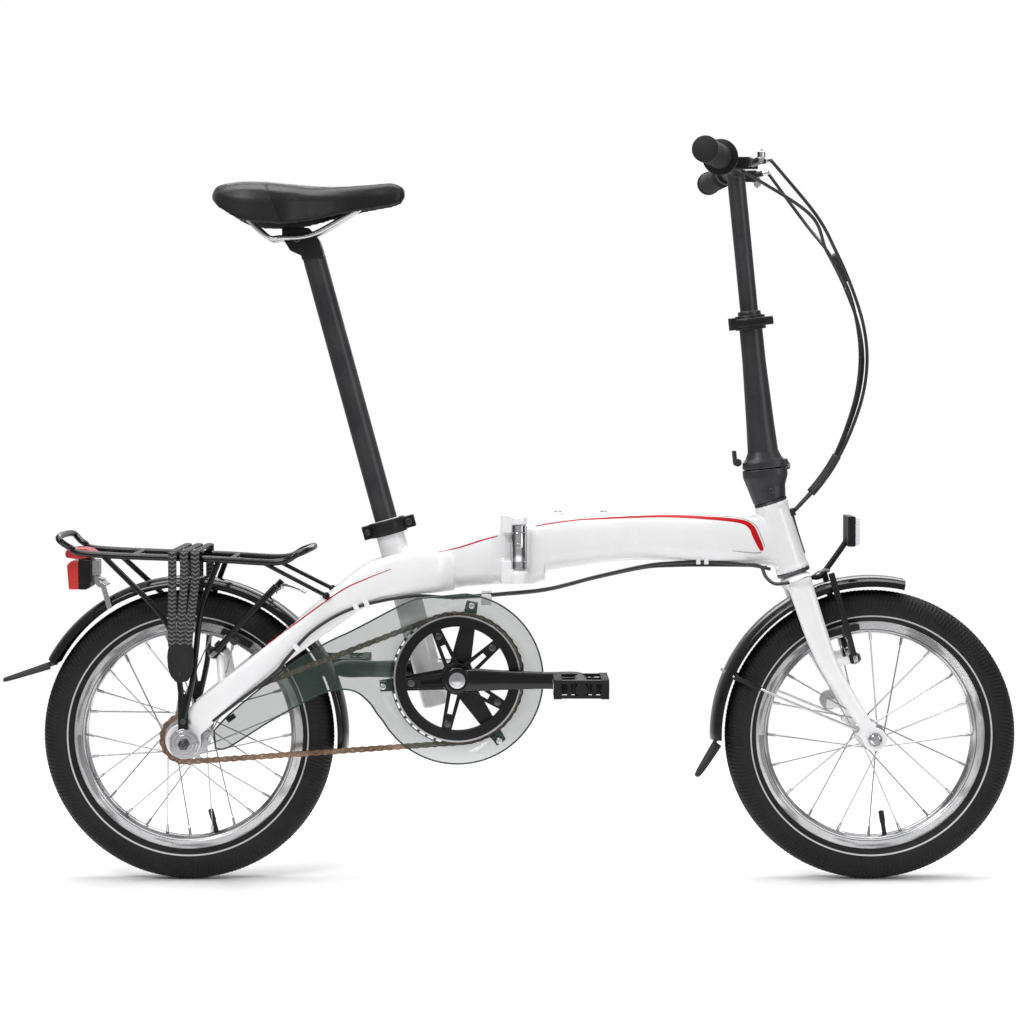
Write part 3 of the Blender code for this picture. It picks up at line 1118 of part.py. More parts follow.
def make_handlepost():
    forward = POST_DIRECTION.cross(SIDE) * -1
    rings = []
    for along, across, deep, power in ((CLEARANCE, 0.0250, 0.0310, 2.6), (0.0100, 0.0250, 0.0300, 2.6),
                                       (0.0240, 0.0205, 0.0215, 2.2), (0.0600, 0.0190, 0.0195, 2.0),
                                       (0.1500, POST_RADIUS, POST_RADIUS, 2.0), (0.2195, POST_RADIUS, POST_RADIUS, 2.0)):
        centre = POST_SPLIT + along * POST_DIRECTION
        rings.append(oval(centre, across * SIDE, deep * forward, ROUND, power))
    knuckles = post_knuckle(-0.0115, -0.0053, 1) + post_knuckle(0.0053, 0.0115, 1)
    bore = turned([(0.0400, BAR_POST_RADIUS + CLEARANCE), (0.3000, BAR_POST_RADIUS + CLEARANCE)], POST_SPLIT, POST_DIRECTION)
    node("handlepost", "graphite", "handlepost", loft(rings), knuckles, [bore])

    latch_hub = POST_SPLIT - 0.0370 * forward + 0.0120 * POST_DIRECTION
    PIVOTS["post_latch"] = latch_hub
    hub = turned([(-0.0120, 0.0055), (0.0120, 0.0055)], latch_hub, SIDE, 10)
    lever = oriented_box(latch_hub - 0.0030 * forward + 0.0070 * POST_DIRECTION, POST_DIRECTION, SIDE,
                         (0.0100, 0.0090, 0.0028))
    node("handlepost_latch", "graphite", "post_latch", hub, [lever])

    collar_low = 0.2195 - 0.0260
    collar = turned([(collar_low, POST_RADIUS + 0.0050), (0.2195 - 0.0060, POST_RADIUS + 0.0050)],
                    POST_SPLIT, POST_DIRECTION)
    ears = oriented_box(POST_SPLIT + (collar_low + 0.0100) * POST_DIRECTION - 0.0230 * forward, forward, SIDE,
                        (0.0070, 0.0080, 0.0085))
    bore = turned([(0.1, POST_RADIUS + CLEARANCE), (0.3, POST_RADIUS + CLEARANCE)], POST_SPLIT, POST_DIRECTION)
    node("post_clamp", "black_plastic", "handlepost", collar, [ears], [bore])

    cam = POST_SPLIT + (collar_low + 0.0100) * POST_DIRECTION - 0.0230 * forward - 0.0156 * SIDE
    PIVOTS["post_lever"] = cam
    cam_shape = turned([(-0.0075, 0.0065), (0.0075, 0.0065)], cam, POST_DIRECTION, 10)
    route = [(0.0, -0.0030), (0.0150, -0.0110), (0.0350, -0.0130), (0.0520, -0.0100)]
    arm = [cam + a * forward + b * SIDE for a, b in route]
    rings = []
    for point, heading in zip(arm, directions(arm)):
        rings.append(oval(point, 0.0028 * heading.cross(POST_DIRECTION), 0.0060 * POST_DIRECTION, 8, 3.0))
    node("post_clamp_lever", "black_plastic", "post_lever", cam_shape, [loft(rings)])


make_handlepost()


# ---------------------------------------------------------------- handlebar and controls
def bar_point(y, ahead=0.0, rise=0.0):
    """A place beside the bar's centre line, y along it; the bar sweeps back outside its straight middle."""
    straight = 0.040
    sweep = math.tan(math.radians(9.2)) * max(0.0, abs(y) - straight)
    local = Vector((ahead - sweep, y, rise))
    return BAR_CENTRE + Matrix.Rotation(BAR_YAW, 3, "Z") @ local


def bar_piece(low, high, radius, steps=ROUND):
    return tube([bar_point(low), bar_point(high)], radius, steps)


GRIP_START = 0.1650
LEFT_GRIP_START = 0.1450
LEVER_Y = 0.1080


def make_bar():
    route = [bar_point(y) for y in (-BAR_REACH + 0.0030, -0.16, -0.06, -0.03, 0.03, 0.06, 0.16, BAR_REACH - 0.0030)]
    post = turned([(-BAR_POST_LENGTH, BAR_POST_RADIUS), (0.0, BAR_POST_RADIUS)], BAR_CENTRE, POST_DIRECTION)
    node("handlebar", "graphite", "bar", post, [tube(route, BAR_RADIUS, 12)])
    for name, side, start in (("right", -1, GRIP_START), ("left", 1, LEFT_GRIP_START)):
        grip = tube([bar_point(side * start), bar_point(side * (BAR_REACH - 0.0040)), bar_point(side * BAR_REACH)],
                    [GRIP_RADIUS, GRIP_RADIUS, GRIP_RADIUS - 0.0030], ROUND)
        hole = tube([bar_point(side * (start - 0.02)), bar_point(side * (BAR_REACH - 0.0025))], BAR_RADIUS + CLEARANCE, 12)
        node(name + "_grip", "black_rubber", "bar", grip, cuts=[hole])
    body = tube([bar_point(-GRIP_START + 0.0006), bar_point(-GRIP_START + 0.0060), bar_point(-GRIP_START + 0.0065),
                 bar_point(-GRIP_START + 0.0320)], [0.0240, 0.0240, 0.0190, 0.0190], ROUND)
    hole = tube([bar_point(-GRIP_START - 0.01), bar_point(-0.09)], BAR_RADIUS + 3 * CLEARANCE, 12)
    PIVOTS["shifter"] = bar_point(-GRIP_START + 0.0160)
    node("twist_shifter", "black_plastic", "shifter", body, cuts=[hole])


make_bar()


def make_levers():
    """Each brake lever's clamp on the bar and the blade that turns in it."""
    for name, side in (("right", -1), ("left", 1)):
        ring = tube([bar_point(side * (LEVER_Y - 0.0070)), bar_point(side * (LEVER_Y + 0.0070))], BAR_RADIUS + 0.0045, 12)
        bracket_low = min(side * (LEVER_Y - 0.0070), side * (LEVER_Y + 0.0070))
        bracket_high = max(side * (LEVER_Y - 0.0070), side * (LEVER_Y + 0.0070))
        corners = [(0.0080, bracket_low), (0.0420, bracket_low), (0.0420, bracket_high), (0.0080, bracket_high)]
        base = loft([[bar_point(y, x, z) for x, y in corners] for z in (-0.0120, 0.0050)])
        hole = tube([bar_point(side * 0.08), bar_point(side * 0.14)], BAR_RADIUS + CLEARANCE, 12)
        node(name + "_lever_mount", "black_plastic", "bar", ring, [base], [hole])

        pivot = bar_point(side * (LEVER_Y + 0.0145), 0.0370, -0.0035)
        PIVOTS[name + "_lever"] = pivot
        hub = turned([(-0.0060, 0.0065), (0.0060, 0.0065)], pivot, UP, 10)
        route = [(0.0000, 0.0370), (0.0230, 0.0450), (0.0500, 0.0560), (0.0850, 0.0590), (0.1080, 0.0640)]
        blade_points = [bar_point(side * (LEVER_Y + 0.0145 + a), b, -0.0035) for a, b in route]
        rings = []
        for point, heading in zip(blade_points, directions(blade_points)):
            rings.append(oval(point, 0.0030 * heading.cross(UP), 0.0055 * UP, 8, 2.5))
        node(name + "_brake_lever", "silver", name + "_lever", hub, [loft(rings)])


make_levers()


# ---------------------------------------------------------------- cables
def cable(route, count, radius=CABLE_RADIUS):
    return tube(smooth_path(route, count), radius, 6)


def make_cables():
    """Three outer casings from the controls to the head tube, and two under the frame."""
    ends = [bar_point(-LEVER_Y, 0.0520, 0.0), bar_point(-LEVER_Y - 0.024, 0.0240, -0.0150), bar_point(LEVER_Y, 0.0520, 0.0)]
    spread = (-0.0045, 0.0, 0.0045)
    shapes = []
    for k, (start, y) in enumerate(zip(ends, spread)):
        back = 0.003 * k
        route = [
            start,
            front(-0.1060 - back, start.y * 0.55, 0.7550),
            front(-0.0640 - back, y * 2.5, 0.6720),
            front(-0.0330 - back, y, 0.6010),
            front(-0.0150 - back, y, 0.5280),
            front(-0.0180 - back, y, 0.4780),
            front(-0.0450 - back, y, 0.4050),
            front(-0.0790 - back, y, 0.3480),
            front(-0.0980 - back, y, 0.3270),
        ]
        shapes.append(cable(route, 30))
    wrap_places = [front(-0.0280, 0, 0.5850), front(-0.0520, 0, 0.3900)]
    wraps = []
    for place in wrap_places:
        wraps.append(oriented_box(place, Vector((0.45, 0, 1)) if place is wrap_places[0] else Vector((0.5, 0, 1)), SIDE,
                                  (0.0140, 0.0085, 0.0060)))
    node("control_cables", "black_rubber", "fork", shapes[0], shapes[1:] + wraps)

    under = []
    for y, drop in ((-0.0120, 0.0), (0.0120, 0.0060)):
        route = [
            front(-0.2270, y, 0.2370 - drop),
            front(-0.2760, y * 1.3, 0.2395 - drop),
            front(-0.3150, y * 2.2, 0.2385 - drop),
            front(-0.3820, y * 2.4, 0.2230 - drop),
            front(-0.4500, y * 2.4, 0.2040 - drop),
            front(-0.5160, y * 2.4, 0.1970 - drop),
            front(-0.5850, y * 2.6, 0.1920 - drop),
        ]
        under.append(cable(route, 16))
    clip_low = front(-0.5420, -0.0340, 0.1830)
    clip = box(clip_low, clip_low + Vector((0.0140, 0.0680, 0.0160)))
    node("frame_cables", "black_rubber", "rear_frame", under[0], [under[1], clip])


make_cables()
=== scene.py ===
# %% [markdown]
# # Folding bicycle, white frame and small wheels
# The CAD model gives every piece's place and motion. This script gives it its looks:
# a finer visual piece for nearly every CAD node, procedural finishes, a plain studio and a camera.
# Metres, +X towards the front wheel, -Y towards the chain side, +Z up.

import json
import math

import bmesh
import bpy
from mathutils.kdtree import KDTree
from mathutils import Matrix, Vector

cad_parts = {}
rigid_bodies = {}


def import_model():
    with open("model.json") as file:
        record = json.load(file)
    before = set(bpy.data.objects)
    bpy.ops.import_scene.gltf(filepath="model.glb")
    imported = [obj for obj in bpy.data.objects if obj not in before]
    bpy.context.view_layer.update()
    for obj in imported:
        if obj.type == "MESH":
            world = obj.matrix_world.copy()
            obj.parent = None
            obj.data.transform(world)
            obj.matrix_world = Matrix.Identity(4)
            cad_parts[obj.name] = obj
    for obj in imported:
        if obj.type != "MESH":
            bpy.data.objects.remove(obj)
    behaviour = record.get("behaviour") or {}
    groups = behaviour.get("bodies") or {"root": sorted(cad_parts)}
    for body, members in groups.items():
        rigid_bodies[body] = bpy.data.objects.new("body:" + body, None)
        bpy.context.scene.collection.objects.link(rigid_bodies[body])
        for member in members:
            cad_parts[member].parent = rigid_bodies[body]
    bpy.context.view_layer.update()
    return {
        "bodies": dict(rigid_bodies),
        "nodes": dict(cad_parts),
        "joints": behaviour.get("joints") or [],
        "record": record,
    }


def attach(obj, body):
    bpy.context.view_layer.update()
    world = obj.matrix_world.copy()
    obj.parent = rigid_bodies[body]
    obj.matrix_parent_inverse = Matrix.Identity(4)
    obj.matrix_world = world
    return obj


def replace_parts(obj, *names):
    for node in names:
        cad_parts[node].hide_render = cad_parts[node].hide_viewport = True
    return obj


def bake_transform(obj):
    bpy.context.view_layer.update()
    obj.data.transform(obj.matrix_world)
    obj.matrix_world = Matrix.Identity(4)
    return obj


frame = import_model()
PLACE = {joint["name"]: Vector(joint["pos_m"]) for joint in frame["joints"] if "pos_m" in joint}
AXIS = {joint["name"]: Vector(joint["axis"]).normalized() for joint in frame["joints"]}
SIDE = Vector((0, 1, 0))
UP = Vector((0, 0, 1))
FORE = Vector((1, 0, 0))
REAR = PLACE["rear_wheel_spin"]
FRONT = PLACE["front_wheel_spin"]
BRACKET = PLACE["crank_spin"]
HINGE = PLACE["frame_fold"]


def rear(ahead, y, rise):
    """A place given from the rear hub."""
    return REAR + Vector((ahead, y, rise))


def front(ahead, y, rise):
    """A place given from the front hub."""
    return FRONT + Vector((ahead, y, rise))


def beside(hub, points):
    """Outline points (x, z) given from a hub."""
    return [(hub.x + x, hub.z + z) for x, z in points]


def outward(angle):
    """The direction away from a hub in the wheel's plane, at an angle above straight ahead."""
    return Vector((math.cos(angle), 0, math.sin(angle)))


# %% [markdown]
# ## Finishes
# Each finish is a Principled shader. A shared node group gives the slow mottling and the fine
# grain that every real surface has; pattern groups add tread, weave, brushing and stripes, and
# painted reflections on chrome and rims.


# %% Node helpers and the shared surface group
def wire(tree, kind, inputs=None, **settings):
    """Add a node, set its properties, and fill its inputs with values or links."""
    made = tree.nodes.new("ShaderNode" + kind)
    for key, value in settings.items():
        setattr(made, key, value)
    for key, value in (inputs or {}).items():
        if isinstance(value, bpy.types.NodeSocket):
            tree.links.new(value, made.inputs[key])
        else:
            made.inputs[key].default_value = value
    return made


def maths(tree, operation, *values):
    """The result of a Math node on up to three values or links."""
    return wire(tree, "Math", dict(enumerate(values)), operation=operation).outputs[0]


def blend_factor(tree, value, low, high):
    """0 below low, 1 above high, smooth between."""
    inputs = {"Value": value, "From Min": low, "From Max": high}
    return wire(tree, "MapRange", inputs, interpolation_type="SMOOTHSTEP").outputs["Result"]


def surface_group():
    """Mottle: a slow variation from 0 to 1. Normal: a fine grain as a bump."""
    tree = bpy.data.node_groups.new("surface life", "ShaderNodeTree")
    tree.interface.new_socket("Scale", in_out="INPUT", socket_type="NodeSocketFloat")
    tree.interface.new_socket("Grain", in_out="INPUT", socket_type="NodeSocketFloat")
    tree.interface.new_socket("Mottle", in_out="OUTPUT", socket_type="NodeSocketFloat")
    tree.interface.new_socket("Normal", in_out="OUTPUT", socket_type="NodeSocketVector")
    given = tree.nodes.new("NodeGroupInput")
    place = tree.nodes.new("ShaderNodeTexCoord").outputs["Object"]
    slow = wire(tree, "TexNoise", {"Vector": place, "Scale": 14.0, "Detail": 4.0, "Roughness": 0.6})
    fine = wire(tree, "TexNoise", {"Vector": place, "Scale": given.outputs["Scale"], "Detail": 3.0})
    both = maths(tree, "MULTIPLY_ADD", fine.outputs[0], 0.35, maths(tree, "MULTIPLY", slow.outputs[0], 0.65))
    bump = wire(tree, "Bump", {"Strength": given.outputs["Grain"], "Distance": 0.0004, "Height": fine.outputs[0]})
    out = tree.nodes.new("NodeGroupOutput")
    tree.links.new(both, out.inputs["Mottle"])
    tree.links.new(bump.outputs[0], out.inputs["Normal"])
    return tree


def radial_group():
    """Radius from the object's origin in the wheel plane, and the angle about it in turns."""
    tree = bpy.data.node_groups.new("wheel place", "ShaderNodeTree")
    for name in ("Radius", "Turn", "Side"):
        tree.interface.new_socket(name, in_out="OUTPUT", socket_type="NodeSocketFloat")
    place = tree.nodes.new("ShaderNodeTexCoord").outputs["Object"]
    split = wire(tree, "SeparateXYZ", {0: place}).outputs
    squares = maths(tree, "MULTIPLY_ADD", split[0], split[0], maths(tree, "MULTIPLY", split[2], split[2]))
    turn = maths(tree, "DIVIDE", maths(tree, "ARCTAN2", split[2], split[0]), 2 * math.pi)
    out = tree.nodes.new("NodeGroupOutput")
    tree.links.new(maths(tree, "SQRT", squares), out.inputs["Radius"])
    tree.links.new(turn, out.inputs["Turn"])
    tree.links.new(maths(tree, "ABSOLUTE", split[1]), out.inputs["Side"])
    return tree


SURFACE = surface_group()
WHEEL_PLACE = radial_group()


def finish(name, dark, light, roughness, metallic=0.0, grain=0.15, scale=900.0, spread=0.06, **sockets):
    """A Principled material whose colour and roughness follow the shared surface group."""
    material = bpy.data.materials.new(name)
    material.use_nodes = True
    tree = material.node_tree
    shader = tree.nodes["Principled BSDF"]
    life = wire(tree, "Group", {}, node_tree=SURFACE)
    life.inputs["Scale"].default_value = scale
    life.inputs["Grain"].default_value = grain
    mottle = life.outputs["Mottle"]
    share = blend_factor(tree, mottle, 0.35, 0.65)
    colour = wire(tree, "Mix", {0: share, 6: (*dark, 1), 7: (*light, 1)}, data_type="RGBA")
    rough = wire(tree, "MapRange", {"Value": mottle, "From Min": 0.3, "From Max": 0.7,
                                              "To Min": roughness - spread, "To Max": roughness + spread})
    tree.links.new(colour.outputs[2], shader.inputs["Base Color"])
    tree.links.new(rough.outputs["Result"], shader.inputs["Roughness"])
    tree.links.new(life.outputs["Normal"], shader.inputs["Normal"])
    shader.inputs["Metallic"].default_value = metallic
    for key, value in sockets.items():
        shader.inputs[key.replace("_", " ")].default_value = value
    return material


def into(material, socket, value):
    """Link a value into a socket of the material's own shader."""
    material.node_tree.links.new(value, material.node_tree.nodes["Principled BSDF"].inputs[socket])


def out_of(material, socket):
    """What is linked into a socket of the material's shader now."""
    return material.node_tree.nodes["Principled BSDF"].inputs[socket].links[0].from_socket


def paint_over(material, mask, colour):
    """Mix a flat colour over the base colour where the mask is 1."""
    tree = material.node_tree
    below = out_of(material, "Base Color")
    mixed = wire(tree, "Mix", {0: mask, 6: below, 7: (*colour, 1)}, data_type="RGBA")
    into(material, "Base Color", mixed.outputs[2])


def bump_over(material, height, distance):
    """Add a bump on top of the material's grain."""
    tree = material.node_tree
    below = out_of(material, "Normal")
    bump = wire(tree, "Bump", {"Strength": 1.0, "Distance": distance, "Height": height, "Normal": below})
    into(material, "Normal", bump.outputs[0])


# %% [markdown]
# ## Plain finishes
# Paint, rubber, plastic and metal differ only in colour, roughness, metalness and grain. Each could be
# built by hand in the node editor. One helper and a table keep them alike and easy to change.


# %% Plain finishes
M = {
    "white_paint": finish("white paint", (0.78, 0.78, 0.79), (0.83, 0.83, 0.84), 0.24, grain=0.03, Coat_Weight=0.5,
                          Coat_Roughness=0.06),
    "black_paint": finish("black paint", (0.002, 0.002, 0.0025), (0.004, 0.004, 0.0045), 0.2, grain=0.01,
                          Specular_IOR_Level=0.3, Coat_Weight=0.3, Coat_Roughness=0.06),
    "black_plastic": finish("black plastic", (0.004, 0.004, 0.0045), (0.009, 0.009, 0.0095), 0.4, grain=0.2,
                            Specular_IOR_Level=0.3),
    "black_rubber": finish("black rubber", (0.01, 0.01, 0.01), (0.019, 0.019, 0.019), 0.62, grain=0.35,
                           Specular_IOR_Level=0.3),
    "graphite": finish("graphite", (0.036, 0.036, 0.039), (0.058, 0.058, 0.062), 0.38, metallic=0.6, grain=0.1,
                       scale=1600),
    "silver": finish("silver", (0.5, 0.5, 0.52), (0.62, 0.62, 0.63), 0.24, metallic=1.0, grain=0.02),
    "dark_steel": finish("dark steel", (0.05, 0.05, 0.055), (0.11, 0.11, 0.12), 0.34, metallic=0.9, grain=0.1),
    "chain_steel": finish("chain steel", (0.1, 0.045, 0.022), (0.34, 0.22, 0.15), 0.45, metallic=0.7, grain=0.5,
                          scale=420),
    "rivet_steel": finish("rivet steel", (0.3, 0.25, 0.2), (0.5, 0.44, 0.38), 0.35, metallic=0.9, grain=0.2),
    "clear_lens": finish("clear lens", (0.62, 0.66, 0.7), (0.8, 0.84, 0.88), 0.12, grain=0.1, Coat_Weight=0.5),
    "red_lens": finish("red lens", (0.42, 0.008, 0.006), (0.66, 0.02, 0.015), 0.16, grain=0.1, Coat_Weight=0.6),
    "red_stripe": finish("red stripe", (0.42, 0.002, 0.006), (0.5, 0.004, 0.009), 0.35, grain=0.02,
                         Specular_IOR_Level=0.2),
    "grey_stripe": finish("grey stripe", (0.3, 0.3, 0.31), (0.36, 0.36, 0.37), 0.3, grain=0.03),
    "cable": finish("cable casing", (0.01, 0.01, 0.011), (0.018, 0.018, 0.019), 0.35, grain=0.08),
    "smoke_edge": finish("smoke edge", (0.02, 0.03, 0.026), (0.035, 0.048, 0.042), 0.15, grain=0.03),
    "silver_print": finish("silver print", (0.2, 0.2, 0.21), (0.3, 0.3, 0.31), 0.3, metallic=0.5, grain=0.05),
}
print("plain finishes:", len(M))


# %% [markdown]
# ## Patterned finishes
# Tread ribs, brushed rims, woven bands and a pebbled cover are too fine to model. Waves and cells
# placed by each piece's own coordinates need no image, and they follow the piece when it moves.


# %% Finishes with a pattern
def chrome_finish():
    """Chrome with a painted reflection: dark bands painted into its colour where it turns away, standing in for
    reflected dark studio walls.
    """
    material = finish("chrome", (0.74, 0.74, 0.76), (0.84, 0.84, 0.85), 0.1, metallic=1.0, grain=0.02, spread=0.03)
    tree = material.node_tree
    facing = wire(tree, "LayerWeight", {"Blend": 0.5}).outputs["Facing"]
    # Painted reflection: dark bands painted by viewing angle, bright where the chrome faces the camera and dark
    # towards its sides.
    bands = maths(tree, "ABSOLUTE", maths(tree, "SINE", maths(tree, "MULTIPLY", facing, 7.0)))
    paint_over(material, maths(tree, "MULTIPLY", blend_factor(tree, bands, 0.25, 0.9), 0.85), (0.05, 0.05, 0.055))
    return material


def tyre_finish():
    """Black rubber with a pale reflecting line beside the rim and a dusty, duller tread."""
    material = finish("tyre rubber", (0.006, 0.006, 0.006), (0.013, 0.013, 0.013), 0.62, grain=0.5, scale=1300,
                      Specular_IOR_Level=0.25)
    tree = material.node_tree
    wheel = wire(tree, "Group", {}, node_tree=WHEEL_PLACE)
    radius = wheel.outputs["Radius"]
    off_line = maths(tree, "ABSOLUTE", maths(tree, "SUBTRACT", radius, 0.1672))
    line = maths(tree, "SUBTRACT", 1.0, blend_factor(tree, off_line, 0.0008, 0.0012))
    dull = blend_factor(tree, radius, 0.19, 0.2025)
    paint_over(material, maths(tree, "MULTIPLY", dull, 0.35), (0.018, 0.0175, 0.017))
    paint_over(material, line, (0.5, 0.5, 0.5))
    ribs = maths(tree, "SINE", maths(tree, "MULTIPLY", wheel.outputs["Turn"], 2 * math.pi * 240))
    where = maths(tree, "MULTIPLY", blend_factor(tree, radius, 0.17, 0.176), ribs)
    bump_over(material, where, 0.0002)
    return material


def rim_finish():
    """Brushed silver with a turned brake track, a darker step below it, and uneven dark patches of painted reflection
    in its colour.
    """
    material = finish("rim", (0.58, 0.58, 0.59), (0.68, 0.68, 0.69), 0.22, metallic=1.0, grain=0.01)
    tree = material.node_tree
    radius = wire(tree, "Group", {}, node_tree=WHEEL_PLACE).outputs["Radius"]
    rings = maths(tree, "SINE", maths(tree, "MULTIPLY", radius, 2 * math.pi * 2600))
    track = maths(tree, "MULTIPLY", blend_factor(tree, radius, 0.1487, 0.1492), rings)
    bump_over(material, track, 0.00002)
    turn = wire(tree, "Group", {}, node_tree=WHEEL_PLACE).outputs["Turn"]
    # Painted reflection: stretched noise round the rim darkens the metal's colour in patches.
    painted_reflection_streak = wire(tree, "TexNoise", {"Vector": wire(tree, "CombineXYZ", {0: maths(tree, "MULTIPLY", turn, 9.0),
                                               1: maths(tree, "MULTIPLY", radius, 60.0)}).outputs[0], "Scale": 1.6,
                                               "Detail": 1.0})
    paint_over(material, maths(tree, "MULTIPLY", blend_factor(tree, painted_reflection_streak.outputs[0], 0.48, 0.62), 0.75),
               (0.16, 0.16, 0.165))
    step = maths(tree, "ABSOLUTE", maths(tree, "SUBTRACT", radius, 0.1483))
    paint_over(material, maths(tree, "SUBTRACT", 1.0, blend_factor(tree, step, 0.0003, 0.0006)), (0.12, 0.12, 0.12))
    return material


def woven_finish():
    """A flat braid of pale and dark yarn: chevrons along the band, from its UV map."""
    material = finish("woven strap", (0.01, 0.01, 0.011), (0.018, 0.018, 0.019), 0.75, grain=0.5)
    tree = material.node_tree
    split = wire(tree, "SeparateXYZ", {0: tree.nodes.new("ShaderNodeTexCoord").outputs["UV"]}).outputs
    fold = maths(tree, "ABSOLUTE",
                 maths(tree, "SUBTRACT", maths(tree, "FRACT", maths(tree, "MULTIPLY", split[0], 4.0)), 0.5))
    slant = maths(tree, "MULTIPLY_ADD", fold, 2 * math.pi, maths(tree, "MULTIPLY", split[1], 2 * math.pi / 0.0056))
    yarn = maths(tree, "SINE", slant)
    paint_over(material, blend_factor(tree, yarn, 0.35, 0.75), (0.15, 0.15, 0.155))
    bump_over(material, yarn, 0.0006)
    return material


def leather_finish():
    """Black saddle cover with a fine pebbled grain."""
    material = finish("saddle cover", (0.003, 0.003, 0.003), (0.006, 0.006, 0.006), 0.36, grain=0.15,
                      Specular_IOR_Level=0.35)
    tree = material.node_tree
    place = tree.nodes.new("ShaderNodeTexCoord").outputs["Object"]
    cells = wire(tree, "TexVoronoi", {"Vector": place, "Scale": 620.0}, feature="SMOOTH_F1")
    bump_over(material, cells.outputs["Distance"], 0.0002)
    split = wire(tree, "SeparateXYZ", {0: place}).outputs
    ahead = maths(tree, "MULTIPLY_ADD", split[2], 0.43, maths(tree, "SUBTRACT", split[0], 0.083))
    panel = maths(tree, "SUBTRACT", 1.0, blend_factor(tree, ahead, -0.001, 0.001))
    paint_over(material, panel, (0.012, 0.012, 0.0125))
    seam = maths(tree, "SUBTRACT", 1.0, blend_factor(tree, maths(tree, "ABSOLUTE", ahead), 0.0006, 0.0016))
    bump_over(material, maths(tree, "SUBTRACT", 1.0, seam), 0.0008)
    return material


def guard_finish():
    """Smoky clear plastic: see-through from the front, greener and denser at its edges."""
    material = finish("clear guard", (0.046, 0.078, 0.063), (0.062, 0.096, 0.08), 0.1, grain=0.03, Coat_Weight=0.6,
                      Coat_Roughness=0.05)
    tree = material.node_tree
    normal = wire(tree, "SeparateXYZ", {0: tree.nodes.new("ShaderNodeNewGeometry").outputs["True Normal"]})
    edge = blend_factor(tree, maths(tree, "ABSOLUTE", normal.outputs[1]), 0.95, 0.6)
    facing = wire(tree, "LayerWeight", {"Blend": 0.35}).outputs["Facing"]
    cloud = maths(tree, "MULTIPLY_ADD", facing, 0.3, 0.29)
    into(material, "Alpha", maths(tree, "MAXIMUM", cloud, maths(tree, "MULTIPLY", edge, 0.92)))
    paint_over(material, edge, (0.05, 0.08, 0.07))
    return material


def prism_finish(name, dark, light, pitch, **more):
    """A moulded reflector: a lattice of tiny prisms under a smooth coat."""
    material = finish(name, dark, light, 0.18, grain=0.05, Coat_Weight=1.0, **more)
    tree = material.node_tree
    place = tree.nodes.new("ShaderNodeTexCoord").outputs["Object"]
    cells = wire(tree, "TexVoronoi", {"Vector": place, "Scale": pitch, "Randomness": 0.0})
    paint_over(material, maths(tree, "MULTIPLY", cells.outputs["Distance"], 0.5), light)
    bump_over(material, cells.outputs["Distance"], 0.0006)
    return material


M["chrome"] = chrome_finish()
M["tyre"] = tyre_finish()
M["rim"] = rim_finish()
M["woven_strap"] = woven_finish()
M["saddle_skin"] = leather_finish()
M["woven_sleeve"] = finish("braided sleeve", (0.008, 0.008, 0.008), (0.03, 0.03, 0.031), 0.6, grain=1.0, scale=500)
M["clear_plastic"] = guard_finish()
M["red_prism"] = prism_finish("red reflector", (0.38, 0.005, 0.004), (0.75, 0.03, 0.02), 420)
M["white_prism"] = prism_finish("white reflector", (0.5, 0.55, 0.6), (0.86, 0.9, 0.94), 300)
print("all finishes:", len(M))


# %% [markdown]
# ## Shapes
# Every visual piece is a list of closed shapes. Pressed, forged and welded pieces are fused and
# softened with a fine voxel remesh, so that their joins get the small fillets of real ones.


# %% Shape helpers
def skin(rings, closed=False):
    """Faces between equal rings of points, with flat ends unless the last ring meets the first."""
    n = len(rings[0])
    count = len(rings)
    points = [Vector(p) for ring in rings for p in ring]
    faces = []
    for i in range(count if closed else count - 1):
        a = i * n
        b = (i + 1) % count * n
        faces += [(a + k, a + (k + 1) % n, b + (k + 1) % n, b + k) for k in range(n)]
    if not closed:
        faces += [tuple(range(n)), tuple(range((count - 1) * n, count * n))]
    return points, faces


def oval(centre, across, up, steps, power=2.0):
    """A ring about centre: a superellipse on two half-axis vectors."""
    ring = []
    for i in range(steps):
        angle = 2 * math.pi * (i + 0.5) / steps
        a = math.copysign(abs(math.cos(angle)) ** (2 / power), math.cos(angle))
        b = math.copysign(abs(math.sin(angle)) ** (2 / power), math.sin(angle))
        ring.append(centre + a * across + b * up)
    return ring


def curve(values, per=6):
    """A Catmull-Rom curve through vectors or equal tuples of numbers."""
    route = [Vector(v) if isinstance(v, (tuple, list)) and len(v) <= 4 else v for v in values]
    ends = [2 * route[0] - route[1]] + route + [2 * route[-1] - route[-2]]
    found = []
    for i in range(len(route) - 1):
        a, b, c, d = ends[i : i + 4]
        for k in range(per):
            t = k / per
            found.append(0.5 * (2 * b + (c - a) * t + (2 * a - 5 * b + 4 * c - d) * t * t + (3 * b - a - 3 * c + d) * t**3))
    found.append(route[-1])
    return found


def headings(points, closed=False):
    """The direction of a path at each point."""
    last = len(points) - 1
    found = []
    for i in range(last + 1):
        before = points[i - 1] if closed or i > 0 else points[0]
        after = points[(i + 1) % (last + 1)] if closed or i < last else points[last]
        found.append((after - before).normalized())
    return found


def tube(points, radius, steps=16, closed=False, squash=1.0):
    """A round tube along a path; radius is one number or one for each point."""
    points = [Vector(p) for p in points]
    radii = radius if isinstance(radius, (list, tuple)) else [radius] * len(points)
    ways = headings(points, closed)
    hint = SIDE if abs(ways[0].dot(SIDE)) < 0.9 else UP
    across = (hint - hint.dot(ways[0]) * ways[0]).normalized()
    rings = []
    for point, way, r in zip(points, ways, radii):
        across = (across - across.dot(way) * way).normalized()
        rings.append(oval(point, r * across, r * squash * way.cross(across), steps))
    return skin(rings, closed)


def bend(points, radius, per=8, steps=16, closed=False):
    """A round tube along a smooth curve through the points."""
    return tube(curve([Vector(p) for p in points], per), radius, steps, closed)


